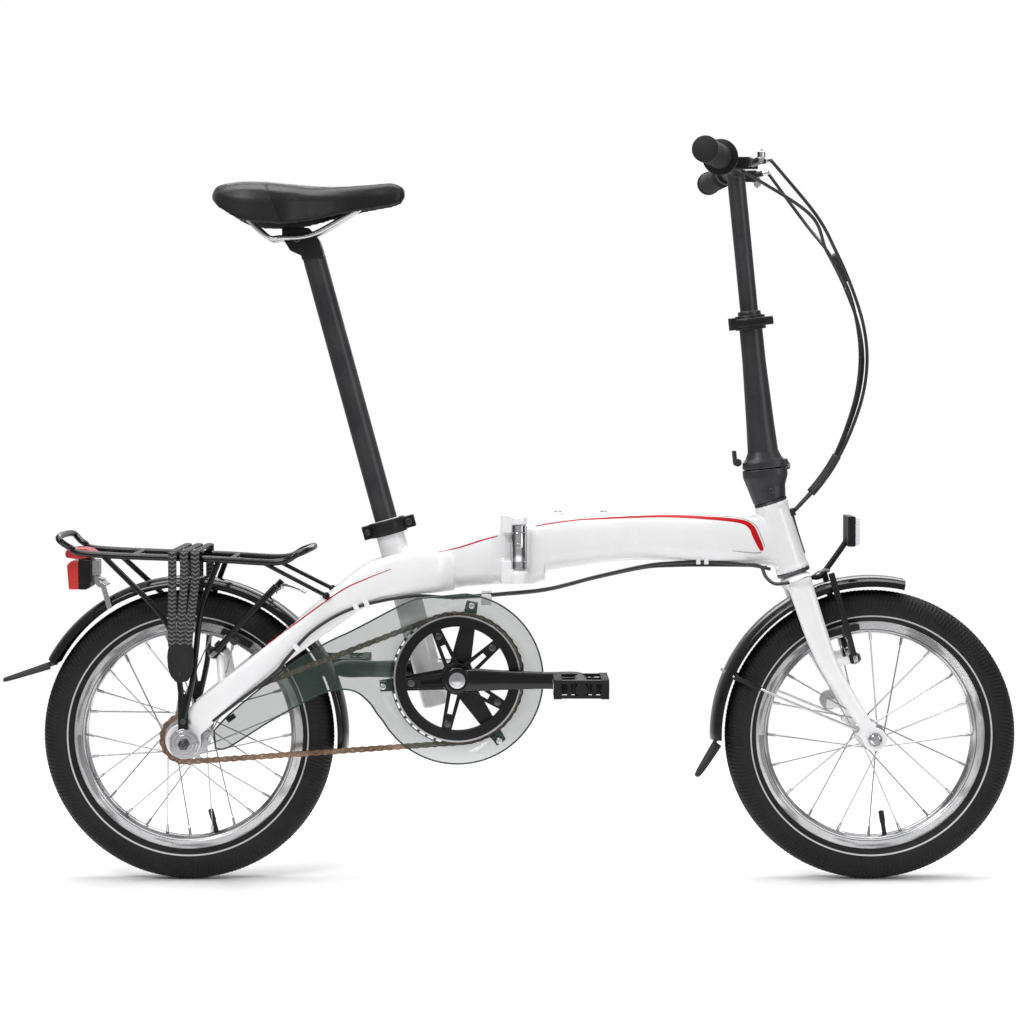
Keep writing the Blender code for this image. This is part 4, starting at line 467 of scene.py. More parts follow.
def turned(profile, centre, axis, steps=48):
    """A turned solid: profile is (place along the axis, radius)."""
    axis = axis.normalized()
    hint = UP if abs(axis.dot(UP)) < 0.9 else SIDE
    across = (hint - hint.dot(axis) * axis).normalized()
    other = axis.cross(across)
    return skin([oval(centre + a * axis, r * across, r * other, steps) for a, r in profile])


def ring_of(profile, centre, axis, steps=64):
    """A turned ring: a closed profile of (place along the axis, radius)."""
    axis = axis.normalized()
    hint = UP if abs(axis.dot(UP)) < 0.9 else SIDE
    across = (hint - hint.dot(axis) * axis).normalized()
    other = axis.cross(across)
    rings = []
    for i in range(steps):
        angle = 2 * math.pi * i / steps
        out = math.cos(angle) * across + math.sin(angle) * other
        rings.append([centre + a * axis + r * out for a, r in profile])
    return skin(rings, closed=True)


def sweep(profile, centre, start, end, steps):
    """A closed profile of (radius, y) swept through an arc in the wheel plane."""
    rings = []
    for i in range(steps + 1):
        angle = start + (end - start) * i / steps
        out = outward(angle)
        rings.append([centre + r * out + y * SIDE for r, y in profile])
    return skin(rings)


def plate(outline, low, high):
    """An outline of (x, z) points between two values of y."""
    return skin([[Vector((x, y, z)) for x, z in outline] for y in (low, high)])


def block(centre, forward, across, half):
    """A box about centre with half sizes along forward, across and the direction square to both."""
    forward = forward.normalized()
    across = (across - across.dot(forward) * forward).normalized()
    third = forward.cross(across)
    a, b, c = half
    corners = [(-b, -c), (b, -c), (b, c), (-b, c)]
    return skin([[centre + s * a * forward + u * across + v * third for u, v in corners] for s in (-1, 1)])


def flat_blade(stations, steps=24, power=2.4, per=5):
    """A flattened tube through (centre, half height in the wheel plane, half thickness), smoothed."""
    rows = curve([Vector((*s[0], s[1])) for s in stations], per)
    thick = curve([Vector((s[2], 0)) for s in stations], per)
    centres = [Vector(r[:3]) for r in rows]
    rings = []
    for centre, row, t, way in zip(centres, rows, thick, headings(centres)):
        flat = Vector((way.x, 0, way.z)).normalized()
        rings.append(oval(centre, t[0] * SIDE, row[3] * Vector((-flat.z, 0, flat.x)), steps, power))
    return skin(rings)


def mirrored(make):
    """The shapes of both sides: make is called with -1 for the chain side and 1 for the other."""
    return [shape for side in (-1, 1) for shape in make(side)]


def label(name):
    """A piece's name as the parts table wants it."""
    return "look_" + name.replace(" ", "_")


def mesh_of(name, shapes):
    points = []
    faces = []
    for shape_points, shape_faces in shapes:
        faces += [tuple(k + len(points) for k in face) for face in shape_faces]
        points += shape_points
    mesh = bpy.data.meshes.new(name)
    mesh.from_pydata(points, [], faces)
    work = bmesh.new()
    work.from_mesh(mesh)
    bmesh.ops.recalc_face_normals(work, faces=work.faces)
    work.to_mesh(mesh)
    work.free()
    return mesh


def piece(name, shapes, look, body, replaces=(), bevel=0.0, angle=38, origin=None):
    """One visual piece: its shapes, finish, the body it rides on and the CAD nodes it stands for."""
    mesh = mesh_of(name, shapes)
    if origin is not None:
        mesh.transform(Matrix.Translation(-origin))
    mesh.shade_smooth()
    mesh.set_sharp_from_angle(angle=math.radians(angle))
    made = bpy.data.objects.new(label(name), mesh)
    bpy.context.scene.collection.objects.link(made)
    if origin is not None:
        made.location = origin
    mesh.materials.append(M[look])
    if bevel:
        modifier = made.modifiers.new("edges", "BEVEL")
        modifier.width = bevel
        modifier.segments = 2
        modifier.limit_method = "ANGLE"
        modifier.angle_limit = math.radians(angle)
        modifier.harden_normals = True
    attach(made, body)
    if replaces:
        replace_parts(made, *replaces)
    return made


def cast(name, shapes, look, body, replaces=(), voxel=0.002, soft=6):
    """A forged or welded piece: its shapes fused, with softened joins."""
    rough = bpy.data.objects.new(name + " rough", mesh_of(name, shapes))
    bpy.context.scene.collection.objects.link(rough)
    remesh = rough.modifiers.new("fuse", "REMESH")
    remesh.mode = "VOXEL"
    remesh.voxel_size = voxel
    smooth = rough.modifiers.new("soften", "SMOOTH")
    smooth.factor = 0.5
    smooth.iterations = soft
    graph = bpy.context.evaluated_depsgraph_get()
    fused = bpy.data.meshes.new_from_object(rough.evaluated_get(graph))
    bpy.data.objects.remove(rough)
    fused.name = name
    fused.shade_smooth()
    made = bpy.data.objects.new(label(name), fused)
    bpy.context.scene.collection.objects.link(made)
    fused.materials.clear()
    fused.materials.append(M[look])
    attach(made, body)
    if replaces:
        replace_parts(made, *replaces)
    return made


def bolt(centre, axis, radius=0.0045, height=0.004, steps=24):
    """A socket-head bolt: a turned head with a six-sided recess."""
    head = [(0, radius), (height * 0.8, radius), (height, radius * 0.85), (height, radius * 0.52),
            (height * 0.35, radius * 0.5)]
    return turned(head, centre, axis, steps)


print("helpers ready")

# %% [markdown]
# ## Wheels
# Grooved tyres with a reflecting line, box rims with valve stems, crossed spokes with nipples,
# and turned hubs. Each wheel's pieces have their origin at the hub.


# %% Tyres, rims and valves
def make_tyre(end, hub):
    """A tyre whose shoulder carries cross grooves and whose crown has two running grooves."""
    half = [(0.1604, 0.0125), (0.164, 0.0186), (0.17, 0.0226), (0.178, 0.0244), (0.186, 0.024), (0.1925, 0.0212),
            (0.1975, 0.0165), (0.2005, 0.011), (0.2018, 0.006), (0.2023, 0.002)]
    fine = [(v[0], v[1]) for v in curve([Vector((r, y)) for r, y in half], 3)]
    profile = fine + [(r, -y) for r, y in reversed(fine)]
    profile += [(0.159, -0.01), (0.159, 0.01)]
    steps = 636
    rings = []
    for i in range(steps):
        angle = 2 * math.pi * i / steps
        ring = []
        for r, y in profile:
            slant = i + (1 if y > 0 else 0) + int((r - 0.17) * 160)
            in_groove = r > 0.179 and slant % 3 == 0
            running = abs(abs(y) - 0.0075) < 0.0012
            depth = 0.0014 if in_groove and abs(y) > 0.0095 else 0.001 if running else 0.0006 if in_groove else 0.0
            lean = depth * min(1.0, abs(y) / 0.024)
            out = outward(angle)
            ring.append(hub + (r - depth + 0.4 * lean) * out + (y - math.copysign(lean, y)) * SIDE)
        rings.append(ring)
    piece(end + " tyre", [skin(rings, closed=True)], "tyre", end + "_wheel", [end + "_tyre"], angle=60, origin=hub)


def make_rim(end, hub):
    half = [(0.1594, 0.0113), (0.156, 0.0115), (0.149, 0.0115), (0.1482, 0.011), (0.1466, 0.011), (0.144, 0.0092),
            (0.1424, 0.0066), (0.142, 0.003)]
    profile = half + [(r, -y) for r, y in reversed(half)]
    rings = []
    for i in range(180):
        angle = 2 * math.pi * i / 180
        out = outward(angle)
        rings.append([hub + r * out + y * SIDE for r, y in profile])
    piece(end + " rim", [skin(rings, closed=True)], "rim", end + "_wheel", [end + "_rim"], angle=30, origin=hub)
    way = outward(math.radians(-81 if end == "front" else -75))
    stem = turned([(0.109, 0.0022), (0.11, 0.0036), (0.126, 0.0038), (0.1265, 0.0031), (0.1425, 0.0031)], hub, way,
                  16)
    knurl = [turned([(0.1105 + 0.0028 * k, 0.0041), (0.1118 + 0.0028 * k, 0.0041)], hub, way, 12) for k in range(5)]
    piece(end + " valve", [stem] + knurl, "black_rubber", end + "_wheel", bevel=0.0002, origin=hub)


# %% [markdown]
# ## Spokes and hubs
# A spoke runs from a nipple in the rim to a flange of the hub and crosses its neighbours. Bevelled
# curves would do, but tubes between two computed points give exact crossings. A hub is turned.


# %% Spokes and hubs
def make_spokes(end, hub, count, flange, flange_y, cross):
    shapes = []
    for k in range(count):
        side = 1 if k % 2 else -1
        trail = 1 if (k // 2) % 2 else -1
        angle = 2 * math.pi * k / count
        rim_end = hub + 0.1425 * outward(angle) + 0.0015 * side * SIDE
        foot = angle + trail * cross
        at_hub = hub + flange * outward(foot) + side * (flange_y + 0.0012 * trail) * SIDE
        way = (at_hub - rim_end).normalized()
        shapes.append(tube([rim_end, at_hub], 0.001, 8))
        shapes.append(tube([rim_end, rim_end + 0.01 * way, rim_end + 0.0118 * way], [0.0021, 0.0021, 0.0014], 8))
        shapes.append(tube([at_hub - 0.0022 * side * SIDE, at_hub + 0.0022 * side * SIDE], 0.0018, 8))
    piece(end + " spokes", shapes, "silver", end + "_wheel", [end + "_spokes"], origin=hub)


def make_hub(end, hub, profile):
    whole = profile + [(-y, r) for y, r in reversed(profile)]
    piece(end + " hub", [turned(whole, hub, SIDE, 64)], "silver", end + "_wheel", [end + "_hub"], bevel=0.0004,
          origin=hub)


for end, hub in (("front", FRONT), ("rear", REAR)):
    make_tyre(end, hub)
    make_rim(end, hub)
make_spokes("front", FRONT, 20, 0.0165, 0.0262, math.radians(62))
make_spokes("rear", REAR, 28, 0.0275, 0.0272, math.radians(64))
make_hub("front", FRONT, [(-0.0495, 0.0085), (-0.044, 0.01), (-0.043, 0.014), (-0.033, 0.0145), (-0.0285, 0.019),
                          (-0.0255, 0.019), (-0.022, 0.013), (-0.01, 0.0112)])
make_hub("rear", REAR, [(-0.0645, 0.009), (-0.05, 0.01), (-0.037, 0.0105), (-0.036, 0.021), (-0.031, 0.023),
                        (-0.03, 0.03), (-0.0265, 0.03), (-0.024, 0.0245), (-0.008, 0.0228)])
print("wheels done")

# %% [markdown]
# ## Frame and fork
# The white frame is two welded halves on a chrome hinge barrel. The stays arch over the chain
# guard to flat dropouts, and the beam bows gently up to the head tube.


# %% Rear frame
def smooth_loft(stations, steps=40, power=2.8, per=5):
    """A loft through (centre, half width, half height), smoothed along its length."""
    rows = curve([Vector((s[0].x, s[0].z, s[1], s[2])) for s in stations], per)
    return skin([oval(Vector((r[0], 0, r[1])), r[2] * SIDE, r[3] * UP, steps, power) for r in rows])


def hinge_casting(face, direction):
    """The block that closes on the other half of the hinge."""
    middle = HINGE.z - 0.012
    rings = []
    for ahead, share in ((0.0, 0.985), (0.0015, 1.0), (0.019, 1.0), (0.029, 0.93), (0.036, 0.88)):
        centre = Vector((face + direction * ahead, 0, middle))
        rings.append(oval(centre, 0.029 * share * SIDE, 0.0415 * share * UP, 48, 4.5))
    return skin(rings)


SEAT_AXIS = -AXIS["seat_clamp_release"]
SEAT_TOP = REAR + Vector((0.2751, 0, 0.3005))


def make_rear_frame():
    face = HINGE.x - 0.0003
    tube_end = [(rear(0.444, 0, 0.252), 0.0262, 0.0404), (rear(0.394, 0, 0.2462), 0.0255, 0.0382),
                (rear(0.3532, 0, 0.2389), 0.025, 0.0365), (rear(0.315, 0, 0.2335), 0.024, 0.0345),
                (rear(0.278, 0, 0.226), 0.0215, 0.03)]
    shapes = [smooth_loft(tube_end), hinge_casting(face, -1)]
    pin_top = HINGE.z + 0.0305
    for low, high in ((pin_top + 0.0003, pin_top + 0.0145), (pin_top - 0.081, pin_top - 0.0613)):
        shapes.append(turned([(low, 0.0125), (high - 0.005, 0.0125), (high - 0.0015, 0.0105), (high, 0.007)],
                             Vector((HINGE.x, HINGE.y, 0)), UP, 40))
        inner = -0.012 if low > HINGE.z else 0.012
        span = (min(low, low + inner), max(high, high + inner))
        middle = Vector((HINGE.x - 0.0123, -0.03, (span[0] + span[1]) / 2))
        shapes.append(block(middle, FORE, SIDE, (0.012, 0.015, (span[1] - span[0]) / 2)))
    shapes.append(turned([(-0.2687, 0.0195), (-0.001, 0.0195), (0, 0.0188)], SEAT_TOP, SEAT_AXIS, 48))
    shapes.append(turned([(-0.034, 0.0205), (0.034, 0.0205)], BRACKET, SIDE, 48))
    shapes.append(plate([(BRACKET.x + x, BRACKET.z + z) for x,
                         z in ((-0.042, -0.016), (-0.036, 0.02), (-0.004, 0.018),
                                                                      (-0.004, -0.018))], -0.014, 0.014))

    def stay(side):
        stations = [
            (rear(0.37, side * 0.019, 0.232), 0.029, 0.008),
            (rear(0.344, side * 0.029, 0.231), 0.0305, 0.012),
            (rear(0.308, side * 0.0345, 0.2275), 0.03, 0.0115),
            (rear(0.2709, side * 0.039, 0.2195), 0.0275, 0.011),
            (rear(0.2359, side * 0.045, 0.202), 0.0235, 0.01),
            (rear(0.1482, side * 0.056, 0.1346), 0.0185, 0.0085),
            (rear(0.087, side * 0.0635, 0.087), 0.0182, 0.0075),
            (rear(0.051, side * 0.0663, 0.0572), 0.0188, 0.0068),
            (rear(0.012, side * 0.0688, 0.024), 0.02, 0.0036),
        ]
        tip = turned([(side * 0.0688 - 0.0035, 0.0245), (side * 0.0688 + 0.0035, 0.0245)], REAR, SIDE, 48)
        post = tube([rear(0.054, side * 0.062, 0.064), rear(0.0486, side * 0.04, 0.1099),
                     rear(0.0442, side * 0.04, 0.114)],
                    0.0062, 20)
        return [flat_blade(stations, 32), tip, post]

    shapes += mirrored(stay)
    shapes.append(tube([rear(0.2109, -0.048, 0.185), rear(0.2109, 0.048, 0.185)], 0.007, 24))
    return cast("rear frame", shapes, "white_paint", "rear_frame", ["rear_frame"], voxel=0.0018, soft=5)


rear_frame = make_rear_frame()
barrel = [(-0.0305, 0.0106), (-0.0299, 0.0113), (-0.0205, 0.0113), (-0.02, 0.0109), (-0.0192, 0.0113),
          (0.0192, 0.0113),
          (0.02, 0.0109), (0.0205, 0.0113), (0.0299, 0.0113), (0.0305, 0.0106)]
piece("hinge barrel", [turned(barrel, HINGE, UP, 64)], "chrome", "rear_frame", ["hinge_pin"])
hinge_bolt = HINGE + Vector((0, -0.0108, 0.002))
piece("hinge screw", [bolt(hinge_bolt, -SIDE, 0.0042, 0.0022, 6)], "silver", "rear_frame", bevel=0.0003)
print("rear frame faces:", len(rear_frame.data.polygons))


# %% [markdown]
# ## Front half
# The beam bows from the hinge to the head tube. Ovals lofted through a few stations follow the bow
# better than a bent tube, and the remesh makes the weld at the head tube.


# %% Front frame, head tube and headset
HEAD_AXIS = AXIS["steering"]
HEAD_BOTTOM = PLACE["steering"]
HEAD_LENGTH = 0.099
HEAD_TOP = HEAD_BOTTOM + HEAD_LENGTH * HEAD_AXIS
BEAM_START = Vector((HINGE.x, 0, HINGE.z - 0.009))
BEAM_END = (HEAD_TOP + HEAD_BOTTOM) / 2 + Vector((0.002, 0, -0.005))
BEAM = [(0.05, 0.004, 0.0262, 0.0398), (0.12, 0.0095, 0.0256, 0.0372), (0.2, 0.011, 0.025, 0.0353),
        (0.42, 0.0155, 0.024, 0.0337), (0.7, 0.0085, 0.023, 0.0342), (0.9, 0.002, 0.0205, 0.0355),
        (1.0, 0.0, 0.019, 0.0365)]


def make_front_frame():
    sections = [(BEAM_START.lerp(BEAM_END, share) + bow * UP, wide, high) for share, bow, wide, high in BEAM]
    shapes = [smooth_loft(sections), hinge_casting(HINGE.x + 0.0003, 1)]
    shapes.append(turned([(0, 0.0225), (HEAD_LENGTH, 0.0225)], HEAD_BOTTOM, HEAD_AXIS, 48))
    shapes.append(turned([(0, 0.0238), (0.006, 0.0238)], HEAD_BOTTOM, HEAD_AXIS, 48))
    shapes.append(turned([(HEAD_LENGTH - 0.006, 0.0236), (HEAD_LENGTH, 0.0236)], HEAD_BOTTOM, HEAD_AXIS, 48))
    shapes.append(block(Vector((HINGE.x + 0.0055, -0.03, HINGE.z)), FORE, SIDE, (0.005, 0.01, 0.027)))
    for ahead in (0.0547, 0.1187):
        shapes.append(turned([(0, 0.0075), (0.0092, 0.007)], Vector((HINGE.x + ahead, 0, HINGE.z + 0.0375)), UP,
                             24))
    lug = PLACE["frame_latch_swing"]
    for rise in (0.0217, -0.0217):
        middle = Vector((lug.x, (0.024 + lug.y + 0.007) / 2, lug.z + rise))
        shapes.append(block(middle, FORE, SIDE, (0.007, (lug.y + 0.007 - 0.024) / 2, 0.0027)))
    return cast("front frame", shapes, "white_paint", "front_frame", ["front_frame"], voxel=0.0018, soft=5)


front_frame = make_front_frame()
for k, ahead in enumerate((0.0547, 0.1187)):
    centre = Vector((HINGE.x + ahead, 0, HINGE.z + 0.0455))
    piece(f"boss bolt {k + 1}", [bolt(centre, UP, 0.0052, 0.0022)], "chrome", "front_frame", bevel=0.0003)
races = [turned([(-0.0048, 0.023), (-0.001, 0.0236), (-0.0003, 0.0232)], HEAD_BOTTOM, HEAD_AXIS, 48),
         turned([(0.0003, 0.0232), (0.001, 0.0236), (0.0035, 0.0228)], HEAD_TOP, HEAD_AXIS, 48)]
piece("headset races", races, "dark_steel", "front_frame", ["headset"])
print("front frame faces:", len(front_frame.data.polygons))


# %% [markdown]
# ## Stripes
# The stripes are a thin film on the paint. A shader mask could draw them, but a ribbon projected onto
# the frame keeps a crisp edge. Faces that miss the frame are removed.


# %% Stripes laid on the frame
def lay_on(made, target):
    """Press a flat ribbon sideways onto the frame and keep the result."""
    modifier = made.modifiers.new("lay", "SHRINKWRAP")
    modifier.target = target
    modifier.wrap_method = "PROJECT"
    modifier.use_project_y = True
    modifier.use_positive_direction = True
    modifier.use_negative_direction = True
    modifier.offset = 0.00025
    graph = bpy.context.evaluated_depsgraph_get()
    laid = bpy.data.meshes.new_from_object(made.evaluated_get(graph))
    made.modifiers.clear()
    shape = bmesh.new()
    shape.from_mesh(laid)
    stray = {face for edge in shape.edges if edge.calc_length() > 0.012 for face in edge.link_faces}
    bmesh.ops.delete(shape, geom=list(stray), context="FACES")
    shape.to_mesh(laid)
    shape.free()
    made.data = laid


def stripe(name, route, look, body, target, y, half):
    """A ribbon along (x, z, half width) points, beside the frame on one side, projected onto it."""
    rows = curve([Vector(p) for p in route], 14)
    ways = headings([Vector((r[0], 0, r[1])) for r in rows])
    points = []
    faces = []
    strips = 4
    for row, way in zip(rows, ways):
        normal = Vector((-way.z, 0, way.x))
        centre = Vector((row[0], y, row[1]))
        points += [centre + (2 * k / strips - 1) * max(row[2], half) * normal for k in range(strips + 1)]
    for i in range(len(rows) - 1):
        a = i * (strips + 1)
        faces += [(a + k, a + k + 1, a + k + strips + 2, a + k + strips + 1) for k in range(strips)]
    made = piece(name, [(points, faces)], look, body)
    lay_on(made, target)
    return made


def frame_graphics(side, tag):
    y = side * 0.06
    top = [(0.037, 0.495, 0.0006), (0.08, 0.5015, 0.0008), (0.1205, 0.505, 0.0011), (0.2102, 0.5085, 0.0016),
           (0.2779, 0.5058, 0.0021), (0.32, 0.5015, 0.0027), (0.3355, 0.494, 0.0036), (0.342, 0.481, 0.0042),
           (0.349, 0.466, 0.0034), (0.3515, 0.4605, 0.002)]
    stripe(f"beam stripe {tag}", top, "red_stripe", "front_frame", front_frame, y, 0.0004)
    under = [(0.35, 0.458, 0.0008), (0.34, 0.4574, 0.0007), (0.325, 0.4588, 0.0006), (0.3096, 0.4606, 0.0004)]
    stripe(f"beam underline {tag}", under, "grey_stripe", "front_frame", front_frame, y, 0.0003)
    over = [(0.042, 0.498, 0.0004), (0.1205, 0.5082, 0.0005), (0.2102, 0.5118, 0.0005), (0.2779, 0.5093, 0.0005),
            (0.3215, 0.5058, 0.0005), (0.3415, 0.496, 0.0006), (0.349, 0.482, 0.0006), (0.355, 0.466, 0.0005)]
    stripe(f"beam outline {tag}", over, "grey_stripe", "front_frame", front_frame, y, 0.0003)
    upper = [(-0.097, 0.46, 0.0004), (-0.07, 0.465, 0.0008), (-0.04, 0.4745, 0.001), (-0.015, 0.4815, 0.0007)]
    stripe(f"tube stripe {tag}", upper, "red_stripe", "rear_frame", rear_frame, y, 0.0003)
    lower = [(-0.162, 0.437, 0.0004), (-0.198, 0.423, 0.0007), (-0.233, 0.406, 0.0009), (-0.29, 0.365, 0.001),
             (-0.327, 0.339, 0.0006)]
    stripe(f"stay stripe {tag}", lower, "red_stripe", "rear_frame", rear_frame, side * 0.1, 0.0003)


frame_graphics(-1, "right")
frame_graphics(1, "left")
print("stripes laid")


# %% [markdown]
# ## Fork
# Two blades curve from an upper bridge to the dropouts. Flattened ovals lofted along one blade give
# its taper, and mirroring makes the other, so that both match.


# %% Fork
CROWN = HEAD_BOTTOM - 0.0151 * HEAD_AXIS
FORWARD = (SIDE.cross(HEAD_AXIS)).normalized()


def make_fork():
    rings = []
    for y, deep, high in ((-0.05, 0.011, 0.007), (-0.047, 0.015, 0.0088), (-0.04, 0.018, 0.0098),
                          (0.0, 0.0218, 0.01), (0.04, 0.018, 0.0098), (0.047, 0.015, 0.0088), (0.05, 0.011, 0.007)):
        rings.append(oval(CROWN + y * SIDE, deep * FORWARD, high * HEAD_AXIS, 32, 3.0))
    shapes = [skin(rings), turned([(-0.008, 0.0143), (0.02, 0.0143)], HEAD_BOTTOM, HEAD_AXIS, 32)]

    def leg(side):
        stations = [
            (Vector((CROWN.x, side * 0.0405, CROWN.z)), 0.0172, 0.0088),
            (front(-0.08, side * 0.043, 0.1443), 0.016, 0.0087),
            (front(-0.0625, side * 0.0455, 0.102), 0.013, 0.008),
            (front(-0.032, side * 0.05, 0.05), 0.0103, 0.0066),
            (front(-0.006, side * 0.0535, 0.009), 0.01, 0.004),
        ]
        tip = turned([(side * 0.0538 - 0.0035, 0.0165), (side * 0.0538 + 0.0035, 0.0165)], FRONT, SIDE, 40)
        eye = [(0.002, 0.012), (-0.027, 0.0205), (-0.0325, 0.0147), (-0.027, 0.009), (-0.006, -0.01)]
        tab = plate(beside(FRONT, eye), side * 0.0538 - 0.003, side * 0.0538 + 0.003)
        post = tube([front(-0.064, side * 0.0455, 0.105), front(-0.0392, side * 0.04, 0.1072),
                     front(-0.0334, side * 0.04, 0.1089)], 0.0062, 20)
        return [flat_blade(stations, 28), tip, tab, post]

    shapes += mirrored(leg)
    arm = ((-0.026, 0.029), (-0.054, 0.029), (-0.054, 0.042), (-0.03, 0.044))
    shapes.append(plate(beside(FRONT, arm), 0.052, 0.056))
    return cast("fork", shapes, "white_paint", "fork", ["fork"], voxel=0.0016, soft=5)


fork = make_fork()
magnet = front(-0.0485, 0.058, 0.041)
piece("magnet", [turned([(-0.003, 0.014), (0.004, 0.014), (0.0045, 0.013)], magnet, SIDE, 40)], "silver", "fork",
      bevel=0.0004)
print("fork faces:", len(fork.data.polygons))

# %% [markdown]
# ## Handlepost, bar and controls
# The folding post, its clamp and latch, and what the rider holds. The castings are fused and remeshed,
# because their knuckles flow into the tube; the small fittings stay separate, with sharp edges.


# %% Handlepost
POST_AXIS = AXIS["bar_height_slide"]
POST_FORWARD = (SIDE.cross(POST_AXIS)).normalized()
FOLD_AXIS = -AXIS["handlepost_fold"]
FOLD_OUT = FOLD_AXIS.cross(POST_AXIS).normalized()
SPLIT = PLACE["handlepost_fold"] - 0.0385 * FOLD_OUT


def fold_knuckle(low, high, half):
    hinge = PLACE["handlepost_fold"]
    middle = hinge + (low + high) / 2 * FOLD_AXIS - 0.0085 * FOLD_OUT + 0.0052 * half * POST_AXIS
    return [turned([(low, 0.0058), (high, 0.0058)], hinge, FOLD_AXIS, 24),
            block(middle, FOLD_OUT, FOLD_AXIS, (0.009, (high - low) / 2, 0.0048))]


def post_rings(rows):
    return skin([oval(SPLIT + a * POST_AXIS, w * SIDE, d * POST_FORWARD, 48, p) for a, w, d, p in rows])


base_low = HEAD_TOP + 0.004 * HEAD_AXIS
base_rings = [oval(base_low, 0.0226 * SIDE, 0.023 * FORWARD, 48, 2.1),
              oval(base_low + 0.003 * HEAD_AXIS, 0.023 * SIDE, 0.0235 * FORWARD, 48, 2.1),
              oval(base_low.lerp(SPLIT, 0.45) - 0.002 * POST_FORWARD, 0.0235 * SIDE, 0.0265 * POST_FORWARD, 48,
                   2.3),
              oval(SPLIT - 0.011 * POST_AXIS, 0.025 * SIDE, 0.031 * POST_FORWARD, 48, 2.6),
              oval(SPLIT - 0.0004 * POST_AXIS, 0.025 * SIDE, 0.031 * POST_FORWARD, 48, 2.6)]
cast("handlepost base", [skin(base_rings)] + fold_knuckle(-0.0048, 0.0048, -1), "graphite", "fork",
     ["handlepost_base"],
     voxel=0.0011, soft=3)
post_rows = [(0.0006, 0.0248, 0.0308, 2.6), (0.0095, 0.0248, 0.0298, 2.6), (0.015, 0.0225, 0.025, 2.4),
             (0.024, 0.0204, 0.0212, 2.2), (0.06, 0.019, 0.0195, 2.0), (0.15, 0.0163, 0.0163, 2.0),
             (0.2185, 0.016, 0.016, 2.0), (0.2195, 0.0152, 0.0152, 2.0)]
knuckles = fold_knuckle(-0.0113, -0.0054, 1) + fold_knuckle(0.0054, 0.0113, 1)
cast("handlepost", [post_rings(post_rows)] + knuckles, "graphite", "handlepost", ["handlepost"], voxel=0.0012,
     soft=3)
piece("fold pin",
      [tube([PLACE["handlepost_fold"] - 0.0122 * FOLD_AXIS, PLACE["handlepost_fold"] + 0.0122 * FOLD_AXIS],
                        0.003, 20)], "silver", "fork")
steer_bolt = SPLIT - 0.031 * POST_AXIS - 0.0235 * SIDE + 0.004 * POST_FORWARD
piece("base bolt", [bolt(steer_bolt, -SIDE, 0.0042, 0.003)], "dark_steel", "fork", bevel=0.0003)

latch = PLACE["handlepost_latch_lift"]
lever = [block(latch - 0.003 * POST_FORWARD + 0.007 * POST_AXIS, POST_AXIS, SIDE, (0.01, 0.0085, 0.0026)),
         turned([(-0.0115, 0.0054), (0.0115, 0.0054)], latch, SIDE, 28)]
piece("handlepost latch", lever, "graphite", "post_latch", ["handlepost_latch"], bevel=0.0012)

collar_low = 0.1935
collar_mid = SPLIT + (collar_low + 0.01) * POST_AXIS
collar_profile = [(-0.0098, 0.0163), (-0.0098, 0.0203), (-0.0088, 0.021), (0.0088, 0.021), (0.0098, 0.0203),
                  (0.0098, 0.0163)]
clamp_shapes = [ring_of(collar_profile, collar_mid, POST_AXIS)]
clamp_shapes.append(block(collar_mid - 0.023 * POST_FORWARD, POST_FORWARD, SIDE, (0.007, 0.003, 0.0085)))
clamp_shapes.append(block(collar_mid - 0.0225 * POST_FORWARD + 0.006 * SIDE, POST_FORWARD, SIDE,
                          (0.007, 0.0022, 0.0085)))
piece("post clamp", clamp_shapes, "black_plastic", "handlepost", ["post_clamp"], bevel=0.0006)
cam = PLACE["post_clamp_release"]
arm = [cam + a * POST_FORWARD + b * SIDE for a,
       b in ((0.0, -0.003), (0.015, -0.0108), (0.035, -0.0128), (0.052, -0.01))]
arm = curve(arm, 6)
arm_rings = [oval(p, 0.0026 * w.cross(POST_AXIS), 0.0058 * POST_AXIS, 20, 3.0) for p, w in zip(arm, headings(arm))]
piece("post lever", [turned([(-0.0073, 0.0063), (0.0073, 0.0063)], cam, POST_AXIS, 28), skin(arm_rings)],
      "black_plastic",
      "post_lever", ["post_clamp_lever"], bevel=0.0005)
print("handlepost done")

# %% [markdown]
# ## Bar and grips
# The bar is one bent tube. Grips and shifter are turned profiles with ribs, because ribs that show at
# the outline have to be real shape and not only a bump.


# %% Handlebar, grips, shifter
BAR = SPLIT + 0.4185 * POST_AXIS
BAR_TURN = Matrix.Rotation(math.radians(-4.9), 3, "Z")


def bar_at(y, ahead=0.0, rise=0.0):
    """A place beside the bar's centre line, which sweeps back outside its straight middle."""
    sweep_back = math.tan(math.radians(9.2)) * max(0.0, abs(y) - 0.04)
    return BAR + BAR_TURN @ Vector((ahead - sweep_back, y, rise))


bar_shapes = [turned([(-0.27, 0.0125), (-0.001, 0.0125)], BAR, POST_AXIS, 40)]
bar_route = [bar_at(y) for y in (-0.277, -0.16, -0.07, -0.052, -0.04, -0.025, 0.025, 0.04, 0.052, 0.07, 0.16,
                                 0.277)]
bar_shapes.append(tube(bar_route, [0.0111] * 12, 32))
bar_shapes.append(tube([bar_at(-0.03), bar_at(-0.014), bar_at(0.014), bar_at(0.03)],
                       [0.0114, 0.0132, 0.0132, 0.0114], 32))
cast("handlebar", bar_shapes, "graphite", "bar", ["handlebar"], voxel=0.0012, soft=3)


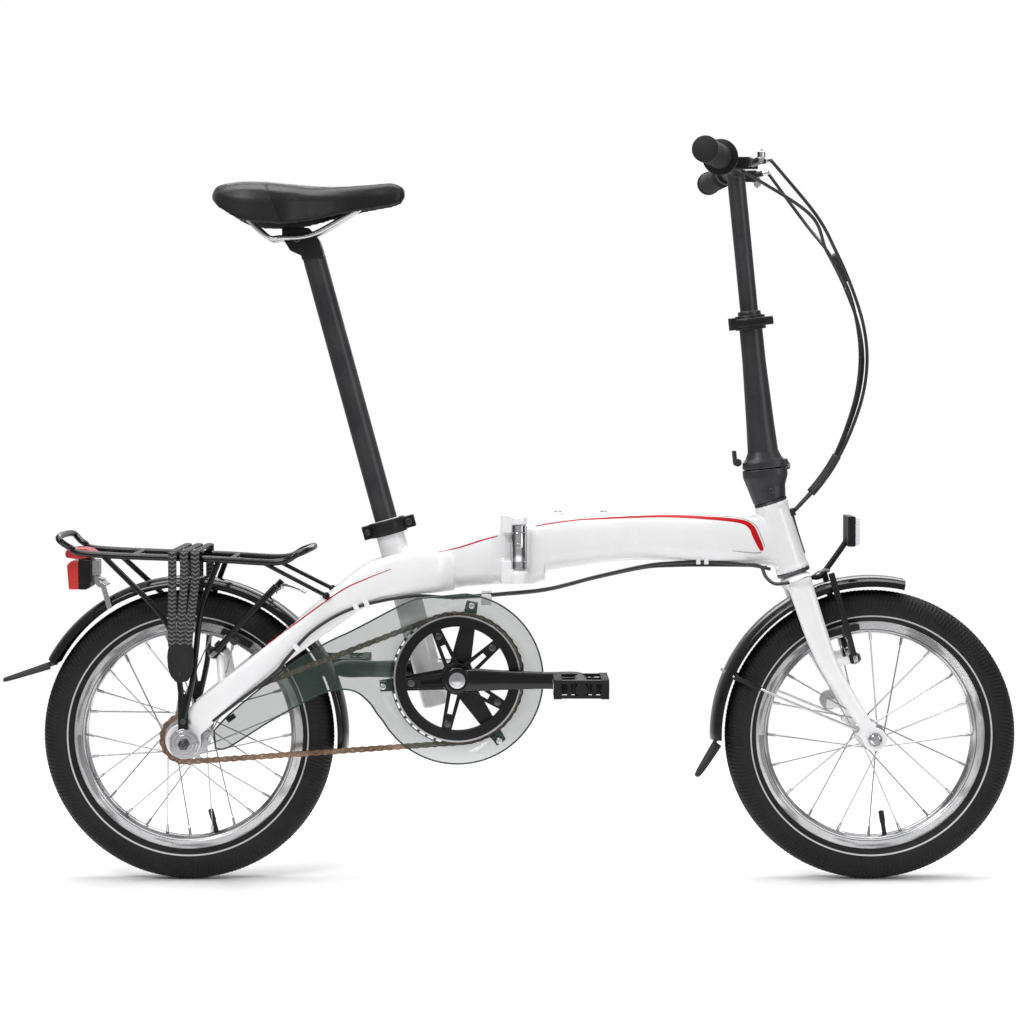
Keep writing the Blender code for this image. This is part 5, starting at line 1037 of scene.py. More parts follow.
def ribbed(low, high, radius, pitch, deep, end_cap):
    """Radii for a ribbed grip between two places along the bar."""
    route = []
    radii = []
    count = int(abs(high - low) / pitch)
    for k in range(count):
        for share, r in ((0.0, radius - deep), (0.15, radius), (0.75, radius), (0.9, radius - deep)):
            route.append(bar_at(low + (high - low) * (k + share) / count))
            radii.append(r)
    route += [bar_at(high), bar_at(high + math.copysign(0.0006, high))]
    radii += [radius, radius - end_cap]
    return tube(route, radii, 40)


piece("right grip", [ribbed(-0.166, -0.274, 0.016, 0.0045, 0.0009, 0.004),
                     tube([bar_at(-0.27), bar_at(-0.279), bar_at(-0.28)], [0.0172, 0.0172, 0.015], 40)],
      "black_rubber", "bar", ["right_grip"], angle=50)
piece("left grip", [ribbed(0.1455, 0.274, 0.016, 0.0045, 0.0009, 0.004),
                    tube([bar_at(0.27), bar_at(0.279), bar_at(0.28)], [0.0172, 0.0172, 0.015], 40)],
      "black_rubber", "bar", ["left_grip"], angle=50)
shifter_body = tube([bar_at(-0.133), bar_at(-0.1345), bar_at(-0.1575), bar_at(-0.1585), bar_at(-0.164),
                     bar_at(-0.1646)],
                    [0.0172, 0.0188, 0.0192, 0.0236, 0.0238, 0.0222], 48)
teeth = []
for k in range(18):
    angle = 2 * math.pi * k / 18
    offset = 0.019
    teeth.append(tube([bar_at(-0.137, offset * math.cos(angle), offset * math.sin(angle)),
                       bar_at(-0.156, offset * math.cos(angle), offset * math.sin(angle))], 0.0013, 8))
piece("twist shifter", [shifter_body] + teeth, "black_plastic", "shifter", ["twist_shifter"], bevel=0.0004)

# %% [markdown]
# ## Brake levers
# Each lever turns in a clamp on the bar. One loop makes both sides from a few tubes, blocks and a lofted
# blade, so that they match.


# %% Brake levers on the bar
for name, side in (("right", -1), ("left", 1)):
    at = side * 0.108
    ring = tube([bar_at(at - side * 0.0072), bar_at(at - side * 0.006), bar_at(at + side * 0.006),
                 bar_at(at + side * 0.0072)],
                [0.0148, 0.0156, 0.0156, 0.0148], 32)
    neck = block(bar_at(at, 0.025, -0.0035), bar_at(at, 1) - bar_at(at, 0), SIDE, (0.0165, 0.0066, 0.008))
    barrel_nut = tube([bar_at(at - side * 0.002, 0.038, -0.002), bar_at(at - side * 0.006, 0.05, 0.0)], 0.0042, 20)
    cast(name + " lever mount", [ring, neck, barrel_nut], "black_plastic", "bar", [name + "_lever_mount"],
         voxel=0.0009, soft=3)
    piece(name + " adjuster",
          [tube([bar_at(at - side * 0.006, 0.05, 0.0), bar_at(at - side * 0.0085, 0.0575, 0.0015)], 0.0036, 16)],
          "silver", "bar", bevel=0.0003)
    start = side * (0.108 + 0.0145)
    pivot = PLACE[name + "_lever_pull"]
    route = [(0.0, 0.037), (0.023, 0.045), (0.05, 0.056), (0.085, 0.059), (0.107, 0.064)]
    blade = curve([bar_at(start + side * a, b, -0.0035) for a, b in route], 8)
    heights = curve([Vector((h, 0)) for h in (0.0072, 0.0066, 0.007, 0.008, 0.0076)], 8)
    rings = [oval(p, 0.0028 * w.cross(UP), h[0] * UP, 20, 2.4) for p, w, h in zip(blade, headings(blade), heights)]
    knob = turned([(-0.0052, 0.003), (-0.0035, 0.0052), (0.0035, 0.0052), (0.0052, 0.003)], blade[-1], UP, 24)
    boss = turned([(-0.0058, 0.0063), (0.0058, 0.0063)], pivot, UP, 28)
    piece(name + " brake lever", [skin(rings), knob, boss], "silver", name + "_lever", [name + "_brake_lever"],
          bevel=0.0003)
print("bar and levers done")

# %% [markdown]
# ## Seatpost and saddle
# A plain turned post in a split collar, and a yoke that grips two bent rails. Rails of one bent rod are
# best made as one curve, mirrored across the middle.

# %% Seatpost, clamp and saddle support
POST_TOP = SEAT_TOP + 0.3765 * SEAT_AXIS
seat_rows = [(-0.55, 0.015), (-0.5495, 0.0158), (-0.001, 0.0158), (0.0, 0.015)]
piece("seatpost", [turned(seat_rows, POST_TOP, SEAT_AXIS, 64)], "graphite", "seatpost", ["seatpost"])
AHEAD = (SIDE.cross(SEAT_AXIS)).normalized()
collar = [(-0.0213, 0.02), (-0.0213, 0.025), (-0.02, 0.0256), (-0.0018, 0.0256), (-0.0006, 0.025), (-0.0006, 0.02)]
ear = SEAT_TOP + 0.03 * AHEAD - 0.011 * SEAT_AXIS
tail = SEAT_TOP - 0.029 * AHEAD - 0.011 * SEAT_AXIS
clamp = [ring_of(collar, SEAT_TOP, SEAT_AXIS), block(ear, AHEAD, SIDE, (0.0085, 0.0088, 0.0082)),
         block(tail, AHEAD, SIDE, (0.0068, 0.0082, 0.0095))]
piece("seat clamp", clamp, "black_plastic", "rear_frame", ["seat_clamp"], bevel=0.0009)
screws = [bolt(ear - 0.0088 * SIDE, -SIDE, 0.0048, 0.0028), bolt(tail - 0.0082 * SIDE, -SIDE, 0.0042, 0.0026)]
piece("seat clamp screws", screws, "dark_steel", "rear_frame", bevel=0.0003)
cam = PLACE["seat_clamp_release"]
arm = curve([cam + a * AHEAD + b * SIDE for a,
             b in ((0.0, 0.004), (-0.012, 0.013), (-0.034, 0.0165), (-0.058, 0.014))], 6)
arm_rings = [oval(p, 0.0028 * w.cross(SEAT_AXIS), 0.0063 * SEAT_AXIS, 20, 3.0) for p, w in zip(arm, headings(arm))]
piece("seat lever", [turned([(-0.0078, 0.0078), (0.0078, 0.0078)], cam, SEAT_AXIS, 28), skin(arm_rings)],
      "black_plastic",
      "seat_lever", ["seat_clamp_lever"], bevel=0.0005)

outline = [(-0.043, 0.027), (-0.032, 0.009), (-0.0165, 0.002), (-0.0155, -0.0045), (0.015, -0.001), (0.013, 0.009),
           (0.0085, 0.023), (-0.006, 0.04), (-0.043, 0.041)]
yoke = [plate([(POST_TOP.x + x, POST_TOP.z + z) for x, z in outline], -0.0172, 0.0172)]
piece("saddle clamp", yoke, "black_plastic", "seatpost", ["saddle_clamp"], bevel=0.0018)
yoke_bolt = POST_TOP + Vector((-0.0225, -0.0172, 0.026))
piece("saddle clamp bolts",
      [bolt(yoke_bolt, -SIDE, 0.0062, 0.003), bolt(yoke_bolt + 0.0344 * SIDE, SIDE, 0.0062, 0.003)],
      "dark_steel", "seatpost", bevel=0.0004)
half_rail = [(-0.09, 0.034, 0.052), (-0.062, 0.03, 0.027), (-0.044, 0.0225, 0.026), (-0.002, 0.0225, 0.03),
             (0.045, 0.015, 0.056), (0.064, 0.008, 0.068)]
rail = [POST_TOP + Vector((x, -y, z)) for x, y, z in half_rail]
rail += [POST_TOP + Vector((x, y, z)) for x, y, z in reversed(half_rail)]
piece("saddle rails", [bend(rail, 0.0035, 8, 16)], "silver", "seatpost", ["saddle_rails"])


# %% [markdown]
# ## Saddle
# Foam under a tight cover is rounder than any loft. The loft gives the outline, a short cloth
# simulation with pressure from inside rounds it, and the seam is left to the finish.


# %% Saddle
def swell(made, rise):
    """Cloth pressure from inside rounds a padded cover; no point moves further than rise."""
    scene = bpy.context.scene
    soft = bpy.data.objects.new("soft_cover", made.data.copy())
    scene.collection.objects.link(soft)
    even = soft.modifiers.new("even", "REMESH")
    even.mode = "VOXEL"
    even.voxel_size = 0.005
    graph = bpy.context.evaluated_depsgraph_get()
    soft.data = bpy.data.meshes.new_from_object(soft.evaluated_get(graph))
    soft.modifiers.clear()
    rest = [v.co.copy() for v in soft.data.vertices]
    held = soft.vertex_groups.new(name="held")
    held.add([v.index for v in soft.data.vertices if v.normal.z < 0.25], 1.0, "REPLACE")
    cloth = soft.modifiers.new("pressure", "CLOTH")
    cloth.settings.vertex_group_mass = "held"
    cloth.settings.use_pressure = True
    cloth.settings.uniform_pressure_force = 4.0
    cloth.settings.effector_weights.gravity = 0.0
    cloth.point_cache.frame_start = 1
    cloth.point_cache.frame_end = 20
    for frame in range(1, 21):
        scene.frame_set(frame)
    graph = bpy.context.evaluated_depsgraph_get()
    pushed = [v.co.copy() for v in soft.evaluated_get(graph).data.vertices]
    scene.frame_set(1)
    moves = [(b - a) * min(1.0, rise / max((b - a).length, 1e-9)) for a, b in zip(rest, pushed)]
    near = KDTree(len(rest))
    for i, point in enumerate(rest):
        near.insert(point, i)
    near.balance()
    for corner in made.data.vertices:
        found = near.find_n(corner.co, 6)
        shares = [1.0 / (away + 0.001) for _, _, away in found]
        total = sum((share * moves[i] for share, (_, i, _) in zip(shares, found)), Vector())
        corner.co += total / sum(shares)
    print(f"saddle cover pressed out by up to {1000 * max(m.length for m in moves):.1f} mm")
    mesh = soft.data
    bpy.data.objects.remove(soft)
    bpy.data.meshes.remove(mesh)


def make_saddle():
    """A padded cover over a shell: lofted, then swollen a little by cloth pressure."""
    centre = POST_TOP + Vector((-0.0065, 0, 0.1033))
    stations = [
        (-0.5, 0.26, -0.016, -0.024, -0.019), (-0.485, 0.52, -0.01, -0.031, -0.024),
        (-0.45, 0.8, -0.0045, -0.039, -0.03),
        (-0.34, 0.975, -0.001, -0.056, -0.042), (-0.22, 0.99, -0.0015, -0.061, -0.046),
        (-0.09, 0.87, -0.0045, -0.062, -0.044),
        (0.04, 0.61, -0.0075, -0.056, -0.04), (0.17, 0.41, -0.0065, -0.047, -0.036),
        (0.31, 0.29, -0.0035, -0.04, -0.032),
        (0.43, 0.25, -0.001, -0.034, -0.028), (0.48, 0.19, -0.005, -0.029, -0.023),
        (0.5, 0.1, -0.01, -0.022, -0.019),
    ]
    rings = []
    for along, wide, crown, skirt, belly in stations:
        y = wide * 0.0745
        wall = min(0.005 / y, 0.5)
        section = [(0, crown - 0.0012), (0.22, crown - 0.0006), (0.42, crown - 0.0004), (0.62, crown - 0.002),
                   (0.8, crown - 0.006), (0.93, crown - 0.013), (0.995, 0.55 * crown + 0.45 * skirt),
                   (1.0, skirt + 0.006),
                   (1.0 - 0.15 * wall, skirt + 0.001), (1.0 - 0.6 * wall, skirt), (1.0 - 1.3 * wall, belly),
                   (0.5 - 0.65 * wall, belly + 0.004)]
        ring = [(s * y, z) for s, z in section] + [(-s * y, z) for s, z in reversed(section[1:])]
        rings.append([centre + Vector((along * 0.265, sy, z)) for sy, z in ring])
    smooth = [curve([ring[k] for ring in rings], 5) for k in range(len(rings[0]))]
    rows = [[smooth[k][i] for k in range(len(smooth))] for i in range(len(smooth[0]))]
    saddle = cast("saddle", [skin(rows)], "saddle_skin", "seatpost", ["saddle"], voxel=0.002, soft=12)
    swell(saddle, 0.004)


make_saddle()
print("saddle done")

# %% [markdown]
# ## Chain side
# A chain of separate links over toothed rings, a five-armed spider with a bright edge, glossy
# cranks, block pedals and a smoky clear guard held by a black bracket.

# %% Chain
PITCH = 0.0127
RING_PITCH = PITCH / 2 / math.sin(math.pi / 44)
COG_PITCH = PITCH / 2 / math.sin(math.pi / 16)
CHAIN_Y = -0.045


def chain_line(count):
    """Evenly spaced points on the closed line round both toothed rings, and each one's direction."""
    across = REAR - BRACKET
    heading = math.atan2(across.z, across.x)
    reach = math.hypot(across.x, across.z)
    swing = math.acos((RING_PITCH - COG_PITCH) / reach)
    fine = []
    for centre, radius, start, end, steps in ((BRACKET, RING_PITCH, heading + swing - 2 * math.pi, heading - swing,
                                               400),
                                              (REAR, COG_PITCH, heading - swing, heading + swing, 160)):
        for i in range(steps + 1):
            a = start + (end - start) * i / steps
            fine.append(Vector((centre.x + radius * math.cos(a), CHAIN_Y, centre.z + radius * math.sin(a))))
    lengths = [0.0]
    for here, there in zip(fine, fine[1:] + fine[:1]):
        lengths.append(lengths[-1] + (there - here).length)
    found = []
    at = 0
    for k in range(count):
        want = lengths[-1] * k / count
        while lengths[at + 1] < want:
            at += 1
        share = (want - lengths[at]) / (lengths[at + 1] - lengths[at])
        found.append(fine[at].lerp(fine[(at + 1) % len(fine)], share))
    return found, lengths[-1]


whole = chain_line(4)[1]
LINKS = 2 * round(whole / PITCH / 2)
pins = chain_line(LINKS)[0]


def link_plate(here, there, low, high, radius, waist):
    """A side plate between two pins, narrower in its middle."""
    way = (there - here).normalized()
    up = Vector((-way.z, 0, way.x))
    outline = []
    for centre, start in ((there, -90), (here, 90)):
        for k in range(7):
            a = math.radians(start + 30 * k)
            outline.append(centre + radius * (math.cos(a) * way + math.sin(a) * up))
        outline.append((here + there) / 2 + (waist if start < 0 else -waist) * up)
    return skin([[Vector((p.x, CHAIN_Y + y, p.z)) for p in outline] for y in (low, high)])


plates = []
rollers = []
for k in range(LINKS):
    here = pins[k]
    there = pins[(k + 1) % LINKS]
    if k % 2:
        gaps = ((-0.0024, -0.0015), (0.0015, 0.0024))
    else:
        gaps = ((-0.0034, -0.0025), (0.0025, 0.0034))
    plates += [link_plate(here, there, low, high, 0.004, 0.0029) for low, high in gaps]
    rollers.append(turned([(-0.0034, 0.0012), (-0.0034, 0.0018), (0.0034, 0.0018), (0.0034, 0.0012)], here, SIDE,
                          10))
    rollers.append(turned([(-0.0015, 0.0036), (0.0015, 0.0036)], here, SIDE, 12))
piece("chain plates", plates, "chain_steel", "rear_frame", ["chain"])
piece("chain rivets", rollers, "rivet_steel", "rear_frame")
print("chain links:", LINKS)


# %% [markdown]
# ## Rings, spider and guard
# A toothed ring is a flat outline with a hole, so it is extruded from computed points. The guard is a
# thin clear plate: its green edge is a separate tube, because light collects along a cut edge.


# %% Toothed rings, spider and guard
def toothed(centre, teeth, pitch_radius, low, high, hole):
    """A ring with rounded teeth whose gaps hold the chain's rollers."""
    outline = []
    for k in range(teeth * 6):
        share = k % 6
        radius = pitch_radius + (-0.004, -0.0034, 0.0012, 0.0034, 0.0012, -0.0034)[share]
        angle = 2 * math.pi * k / teeth / 6
        outline.append((radius, angle))
    rings = []
    for y in (low, high):
        rings.append([centre + Vector((r * math.cos(a), y, r * math.sin(a))) for r, a in outline])
    inner = [[centre + Vector((hole * math.cos(a), y, hole * math.sin(a))) for _, a in outline] for y in (high,
                                                                                                          low)]
    return skin(rings + inner, closed=True)


piece("chainring", [toothed(BRACKET, 44, RING_PITCH, -0.0461, -0.0441, 0.0715)], "dark_steel", "crank",
      ["chainring"])
piece("sprocket", [toothed(REAR, 16, COG_PITCH, -0.0461, -0.0441, 0.013),
                   ring_of([(-0.06, 0.0125), (-0.06, 0.015), (-0.041, 0.016), (-0.041, 0.0125)], REAR, SIDE)],
      "silver", "sprocket", ["rear_sprocket"])


def spoke_arm(angle, low, high, shift, wide_in, wide_out, start, end):
    out = outward(angle)
    cross = Vector((-math.sin(angle), 0, math.cos(angle)))
    corners = [(start, shift * 1.6 - wide_in), (end, shift - wide_out), (end, shift + wide_out),
               (start, shift * 1.6 + wide_in)]
    outline = [BRACKET + a * out + b * cross for a, b in corners]
    return plate([(p.x, p.z) for p in outline], low, high)


spider = [ring_of([(-0.0527, 0.0722), (-0.0527, 0.0852), (-0.0493, 0.0876), (-0.0493, 0.0722)], BRACKET, SIDE, 120),
          ring_of([(-0.0526, 0.009), (-0.0526, 0.0215), (-0.0495, 0.023), (-0.0495, 0.009)], BRACKET, SIDE, 60)]
bolts = []
for k in range(5):
    angle = math.radians(41.6 + 72 * k)
    out = outward(angle)
    for shift in (-0.0046, 0.0046):
        spider.append(spoke_arm(angle, -0.0524, -0.0497, shift, 0.0028, 0.0022, 0.018, 0.0745))
    spider.append(spoke_arm(angle, -0.052, -0.0499, 0.0, 0.005, 0.004, 0.05, 0.0745))
    bolts.append(turned([(-0.0005, 0.0048), (0.0008, 0.0048), (0.0014, 0.0038)],
                        BRACKET + 0.064 * out - 0.0525 * SIDE, -SIDE, 24))
piece("spider", spider, "black_paint", "crank", ["chainring_spider"], bevel=0.0004)
piece("spider edge",
      [ring_of([(-0.0529, 0.0855), (-0.0529, 0.0878), (-0.0515, 0.0882), (-0.0515, 0.0855)], BRACKET, SIDE, 160)],
      "silver", "crank")
piece("chainring bolts", bolts, "dark_steel", "crank")

GUARD = 0.1178


def guard_outline():
    points = [(BRACKET.x + GUARD * math.cos(math.radians(a)), BRACKET.z + GUARD * math.sin(math.radians(a)))
              for a in range(210, 447, 3)]
    upper = curve([(0.335, 0.199), (0.302, 0.187), (0.233, 0.151), (0.195, 0.133), (0.1482, 0.105), (0.1, 0.067),
                   (0.06, 0.033), (0.04, 0.012)], 4)
    lower = curve([(0.042, -0.013), (0.06, -0.011), (0.11, 0.0205), (0.1577, 0.048), (0.185, 0.062), (0.21, 0.069),
                   (0.235, 0.066), (0.254, 0.051), (0.265, 0.035)], 4)
    return points + [(REAR.x + p[0], REAR.z + p[1]) for p in upper[2:] + lower]


guard = piece("chain guard", [plate(guard_outline(), -0.0529, -0.0507)], "clear_plastic", "rear_frame",
              ["chain_guard"])
window = piece("guard window", [turned([(-0.06, 0.0905), (-0.04, 0.0905)], BRACKET, SIDE, 120)], "clear_plastic",
               "rear_frame")
cut = guard.modifiers.new("window", "BOOLEAN")
cut.operation = "DIFFERENCE"
cut.solver = "EXACT"
cut.object = window
graph = bpy.context.evaluated_depsgraph_get()
guard_mesh = bpy.data.meshes.new_from_object(guard.evaluated_get(graph))
guard.modifiers.clear()
guard.data = guard_mesh
bpy.data.objects.remove(window)
edge = [Vector((x, -0.0518, z)) for x, z in guard_outline()]
piece("guard edge", [tube(edge, 0.0012, 8, closed=True)], "smoke_edge", "rear_frame")
flange = ring_of([(-0.0538, 0.0905), (-0.0538, 0.0915), (-0.0507, 0.0915), (-0.0507, 0.0905)], BRACKET, SIDE, 160)
piece("guard rim", [flange], "smoke_edge", "rear_frame")

carrier = [ring_of([(-0.0402, 0.0175), (-0.0402, 0.024), (-0.0345, 0.024), (-0.0345, 0.0175)], BRACKET, SIDE, 48)]
screws = []
for degrees in (79, -56, 186):
    angle = math.radians(degrees)
    out = outward(angle)
    carrier.append(spoke_arm(angle, -0.0402, -0.0376, 0.0, 0.0145, 0.0078, 0.018, 0.1078))
    carrier.append(spoke_arm(angle, -0.0506, -0.039, 0.0, 0.0068, 0.0068, 0.0987, 0.1073))
    screws.append(bolt(BRACKET + 0.103 * out - 0.0529 * SIDE, -SIDE, 0.0042, 0.002))
piece("guard bracket", carrier, "black_plastic", "rear_frame", bevel=0.0005)
piece("guard screws", screws, "silver", "rear_frame", bevel=0.0003)
tail_clip = [block(rear(0.064, -0.056, 0.03), Vector((1, 0, 0.7)), SIDE, (0.006, 0.005, 0.0035))]
piece("guard tail clip", tail_clip, "black_plastic", "rear_frame", bevel=0.0008)
print("guard done")

# %% [markdown]
# ## Cranks and pedals
# A forged crank tapers and has soft corners, so it is fused and remeshed. Each pedal turns on its own
# axle, so its pieces ride on the pedal's body.


# %% Cranks, spindle and pedals
piece("bracket cups",
      [ring_of([(-0.0352, 0.009), (-0.0352, 0.0168), (0.0352, 0.0168), (0.0352, 0.009)], BRACKET, SIDE)],
      "dark_steel", "rear_frame", ["bottom_bracket"])
piece("spindle", [turned([(-0.068, 0.0084), (0.068, 0.0084)], BRACKET, SIDE)], "silver", "crank", ["crank_spindle"])
for name, side, ahead in (("right", -1, 1), ("left", 1, -1)):
    stations = [
        (BRACKET + Vector((ahead * -0.012, side * 0.0643, 0)), 0.0115, 0.007),
        (BRACKET + Vector((ahead * 0.02, side * 0.0643, 0)), 0.0155, 0.0075),
        (BRACKET + Vector((ahead * 0.06, side * 0.0655, 0)), 0.0138, 0.0075),
        (BRACKET + Vector((ahead * 0.12, side * 0.07, 0)), 0.0118, 0.0068),
        (BRACKET + Vector((ahead * 0.16, side * 0.0722, 0)), 0.0125, 0.0064),
        (BRACKET + Vector((ahead * 0.18, side * 0.0723, 0)), 0.008, 0.0058),
    ]
    boss = turned([(side * 0.0532, 0.0165), (side * 0.056, 0.0174), (side * 0.0715, 0.0174),
                   (side * 0.0724, 0.016)], BRACKET, SIDE)
    cast(name + " crank", [flat_blade(stations, 32, 3.0), boss], "black_paint", "crank", [name + "_crank"],
         voxel=0.0011, soft=3)
    dust = [turned([(0, 0.011), (0.0012, 0.011), (0.0016, 0.0095)], BRACKET + side * 0.0722 * SIDE, side * SIDE),
            turned([(0.001, 0.006), (0.0026, 0.006), (0.003, 0.005)], BRACKET + side * 0.0722 * SIDE, side * SIDE,
                   24)]
    piece(name + " crank bolt", dust, "silver", "crank")

    hub = PLACE[name + "_pedal_spin"]
    mid_y = side * 0.132
    half_y = 0.043
    shapes = [turned([(side * -0.0042, 0.0072), (side * 0.006, 0.0072), (side * 0.01, 0.011), (side * 0.088, 0.01),
                      (side * 0.0915, 0.008)], hub, SIDE, 32)]
    for ahead_x in (-0.0315, 0.0315):
        base = Vector((hub.x + ahead_x, mid_y, hub.z))
        shapes.append(block(base + Vector((0, 0, 0.0005)), FORE, SIDE, (0.0052, half_y - 0.001, 0.012)))
        for k in range(7):
            tooth = base + Vector((0, -0.037 + 0.0123 * k, 0))
            shapes.append(block(tooth, FORE, SIDE, (0.0054, 0.0034, 0.0134)))
    for y in (-half_y + 0.003, half_y - 0.003):
        for z in (-0.01, 0.01):
            shapes.append(block(Vector((hub.x, mid_y + y, hub.z + z)), FORE, SIDE, (0.034, 0.0028, 0.0022)))
        for x in (-0.03, -0.0165, 0.0165, 0.03):
            shapes.append(block(Vector((hub.x + x, mid_y + y, hub.z)), FORE, SIDE, (0.0028, 0.0026, 0.011)))
    shapes.append(turned([(-0.04, 0.0118), (0.04, 0.0118)], Vector((hub.x, mid_y, hub.z)), SIDE, 32))
    for y in (-0.014, 0.014):
        shapes.append(block(Vector((hub.x, mid_y + y, hub.z)), FORE, SIDE, (0.031, 0.002, 0.0098)))
    piece(name + " pedal", shapes, "black_plastic", name + "_pedal", [name + "_pedal"], bevel=0.0008)
    strips = [block(Vector((hub.x + x, mid_y, hub.z)), FORE, SIDE, (0.0004, 0.028, 0.0056))
              for x in (-0.0371, 0.0371)]
    piece(name + " pedal reflectors", strips, "white_prism", name + "_pedal")
print("cranks and pedals done")


# %% [markdown]
# ## Axles and nuts
# Nuts, washers and covers are turned or six-sided profiles on the axle's line. Small bevels catch the
# light, as on plated steel.


# %% Axles and nuts
def axle(name, body, hub, outside, node, radius=0.0048):
    """A threaded axle with a washer, a flanged nut and a domed end on each side."""
    shapes = [tube([hub - (outside + 0.011) * SIDE, hub + (outside + 0.011) * SIDE], radius, 24)]
    for side in (-1, 1):
        base = hub + side * outside * SIDE
        shapes.append(turned([(0.0003, 0.0096), (0.0016, 0.0096)], base, side * SIDE, 40))
        shapes.append(turned([(0.0016, 0.0084), (0.007, 0.0084), (0.008, 0.0068)], base, side * SIDE, 6))
    return piece(name, shapes, "chrome", body, [node], bevel=0.0004)


axle("front axle", "fork", FRONT, 0.0573, "front_axle")
axle("rear axle", "rear_frame", REAR, 0.0723, "rear_axle")
guard_plate = [(-0.02, 0.008), (-0.014, 0.0165), (-0.003, 0.0205), (0.009, 0.0185), (0.018, 0.011), (0.0215, 0.001),
               (0.018, -0.011), (0.008, -0.0195), (-0.004, -0.0215), (-0.014, -0.017), (-0.02, -0.009)]
bowl = [plate([(REAR.x + 0.003 + x * s, REAR.z - 0.002 + z * s) for x, z in guard_plate], y, y2)
        for s, y, y2 in ((1.0, -0.0835, -0.082), (0.86, -0.0862, -0.0835), (0.62, -0.088, -0.0862))]
piece("axle cover", bowl, "chrome", "rear_frame", bevel=0.0009)
cover_nut = REAR + Vector((0.003, -0.088, -0.002))
piece("cover nut", [turned([(0, 0.0082), (0.005, 0.0082), (0.0058, 0.007)], cover_nut, -SIDE, 6),
                    turned([(0, 0.0044), (0.0092, 0.0044), (0.01, 0.0034)], cover_nut, -SIDE, 20)], "dark_steel",
                    "rear_frame",
      bevel=0.0004)
print("axles done")

# %% [markdown]
# ## Fenders, rack, light, brakes and cables
# A fender is one cross-section swept round the hub. Its ends are open, so the wall is part of the section,
# and the flaps and wire stays are pieces of their own.


# %% Fenders and flaps
def fender_profile(outer_radius=0.2225, half=0.029, wall=0.0016):
    outside = [(v[0], v[1]) for v in curve([Vector(p) for p in ((outer_radius - 0.0135, half),
                                                                (outer_radius - 0.0105, 0.0288),
               (outer_radius - 0.0055, 0.0262), (outer_radius - 0.0018, 0.019), (outer_radius - 0.0002, 0.01),
               (outer_radius, 0.0))], 3)]
    inside = [(r - wall, max(0.0, y - wall)) for r, y in outside]
    inside[0] = (outside[0][0], half - wall)
    over = outside + [(r, -y) for r, y in reversed(outside[:-1])]
    under = inside + [(r, -y) for r, y in reversed(inside[:-1])]
    return over + list(reversed(under))


def rod_eye(centre, radius=0.0052):
    return turned([(-0.0012, radius), (0.0012, radius)], centre, SIDE, 20)


piece("rear fender", [sweep(fender_profile(), REAR, math.radians(-5.5), math.radians(151), 110)], "black_paint",
      "rear_frame",
      ["rear_fender"], bevel=0.0003)
piece("front fender", [sweep(fender_profile(), FRONT, math.radians(78), math.radians(181.5), 80)], "black_paint",
      "fork",
      ["front_fender"], bevel=0.0003)
hold = math.radians(156.5)
hold_out = outward(hold)
stays = []
for side in (-1, 1):
    grip = FRONT + 0.211 * hold_out
    route = [grip + side * 0.027 * SIDE, grip - 0.004 * hold_out + side * 0.032 * SIDE,
             front(-0.11, side * 0.056, 0.0492),
             front(-0.027, side * 0.06, 0.0147)]
    stays += [tube(route, 0.0019, 14), rod_eye(route[-1] - side * 0.001 * SIDE)]
stays.append(tube([FRONT + 0.2235 * hold_out - 0.015 * SIDE, FRONT + 0.2235 * hold_out + 0.015 * SIDE], 0.0022, 12))
piece("fender stays", stays, "silver", "fork")
sleeves = []
for side in (-1, 1):
    near = FRONT + 0.208 * hold_out + side * 0.03 * SIDE
    far = front(-0.11, side * 0.056, 0.0492)
    sleeves.append(tube([near, near.lerp(far, 0.1), near.lerp(far, 0.42), near.lerp(far, 0.44)],
                        [0.0042, 0.0036, 0.0034, 0.0026], 14))
piece("stay sleeves", sleeves, "black_plastic", "fork")


def make_flap(end, body, hub, angle, tip, halves):
    """A thin curved rubber flap with a raised middle rib and a pointed tip."""
    out = outward(angle)
    start = hub + 0.2165 * out
    along = (tip - start).normalized()
    lift = SIDE.cross(along)
    if lift.dot(out) < 0:
        lift = -lift
    rows = curve([Vector((s, h)) for s, h in halves], 6)
    rings = []
    for share, half in rows:
        centre = start + share * (tip - start)
        drop = -0.0068 + 0.0042 * share
        arch = [(v / 8, drop * abs(v / 8) ** 3 - 0.0008) for v in range(-8, 9)]
        ring = [centre + y * half * SIDE + (z + (0.0006 if abs(y) < 0.07 else 0)) * lift for y, z in arch]
        ring += [centre + y * half * SIDE + (z - 0.0018) * lift for y, z in reversed(arch)]
        rings.append(ring)
    piece(end + " mudflap", [skin(rings)], "black_rubber", body, [end + "_mudflap"], bevel=0.0003)


flap_shape = [(0.02, 0.0285), (0.35, 0.0298), (0.7, 0.0285), (0.9, 0.0215), (0.995, 0.009)]
make_flap("rear", "rear_frame", REAR, math.radians(151.4), rear(-0.26, 0, 0.079), flap_shape)
make_flap("front", "fork", FRONT, math.radians(181.9), front(-0.2448, 0, -0.0575), flap_shape)
print("fenders done")

# %% [markdown]
# ## Rack
# Round bars bent and welded: a smooth curve with a bevel radius is the plain way to make each one. The
# struts end in flat lugs at the axle.


# %% Rack
DECK = 0.2535


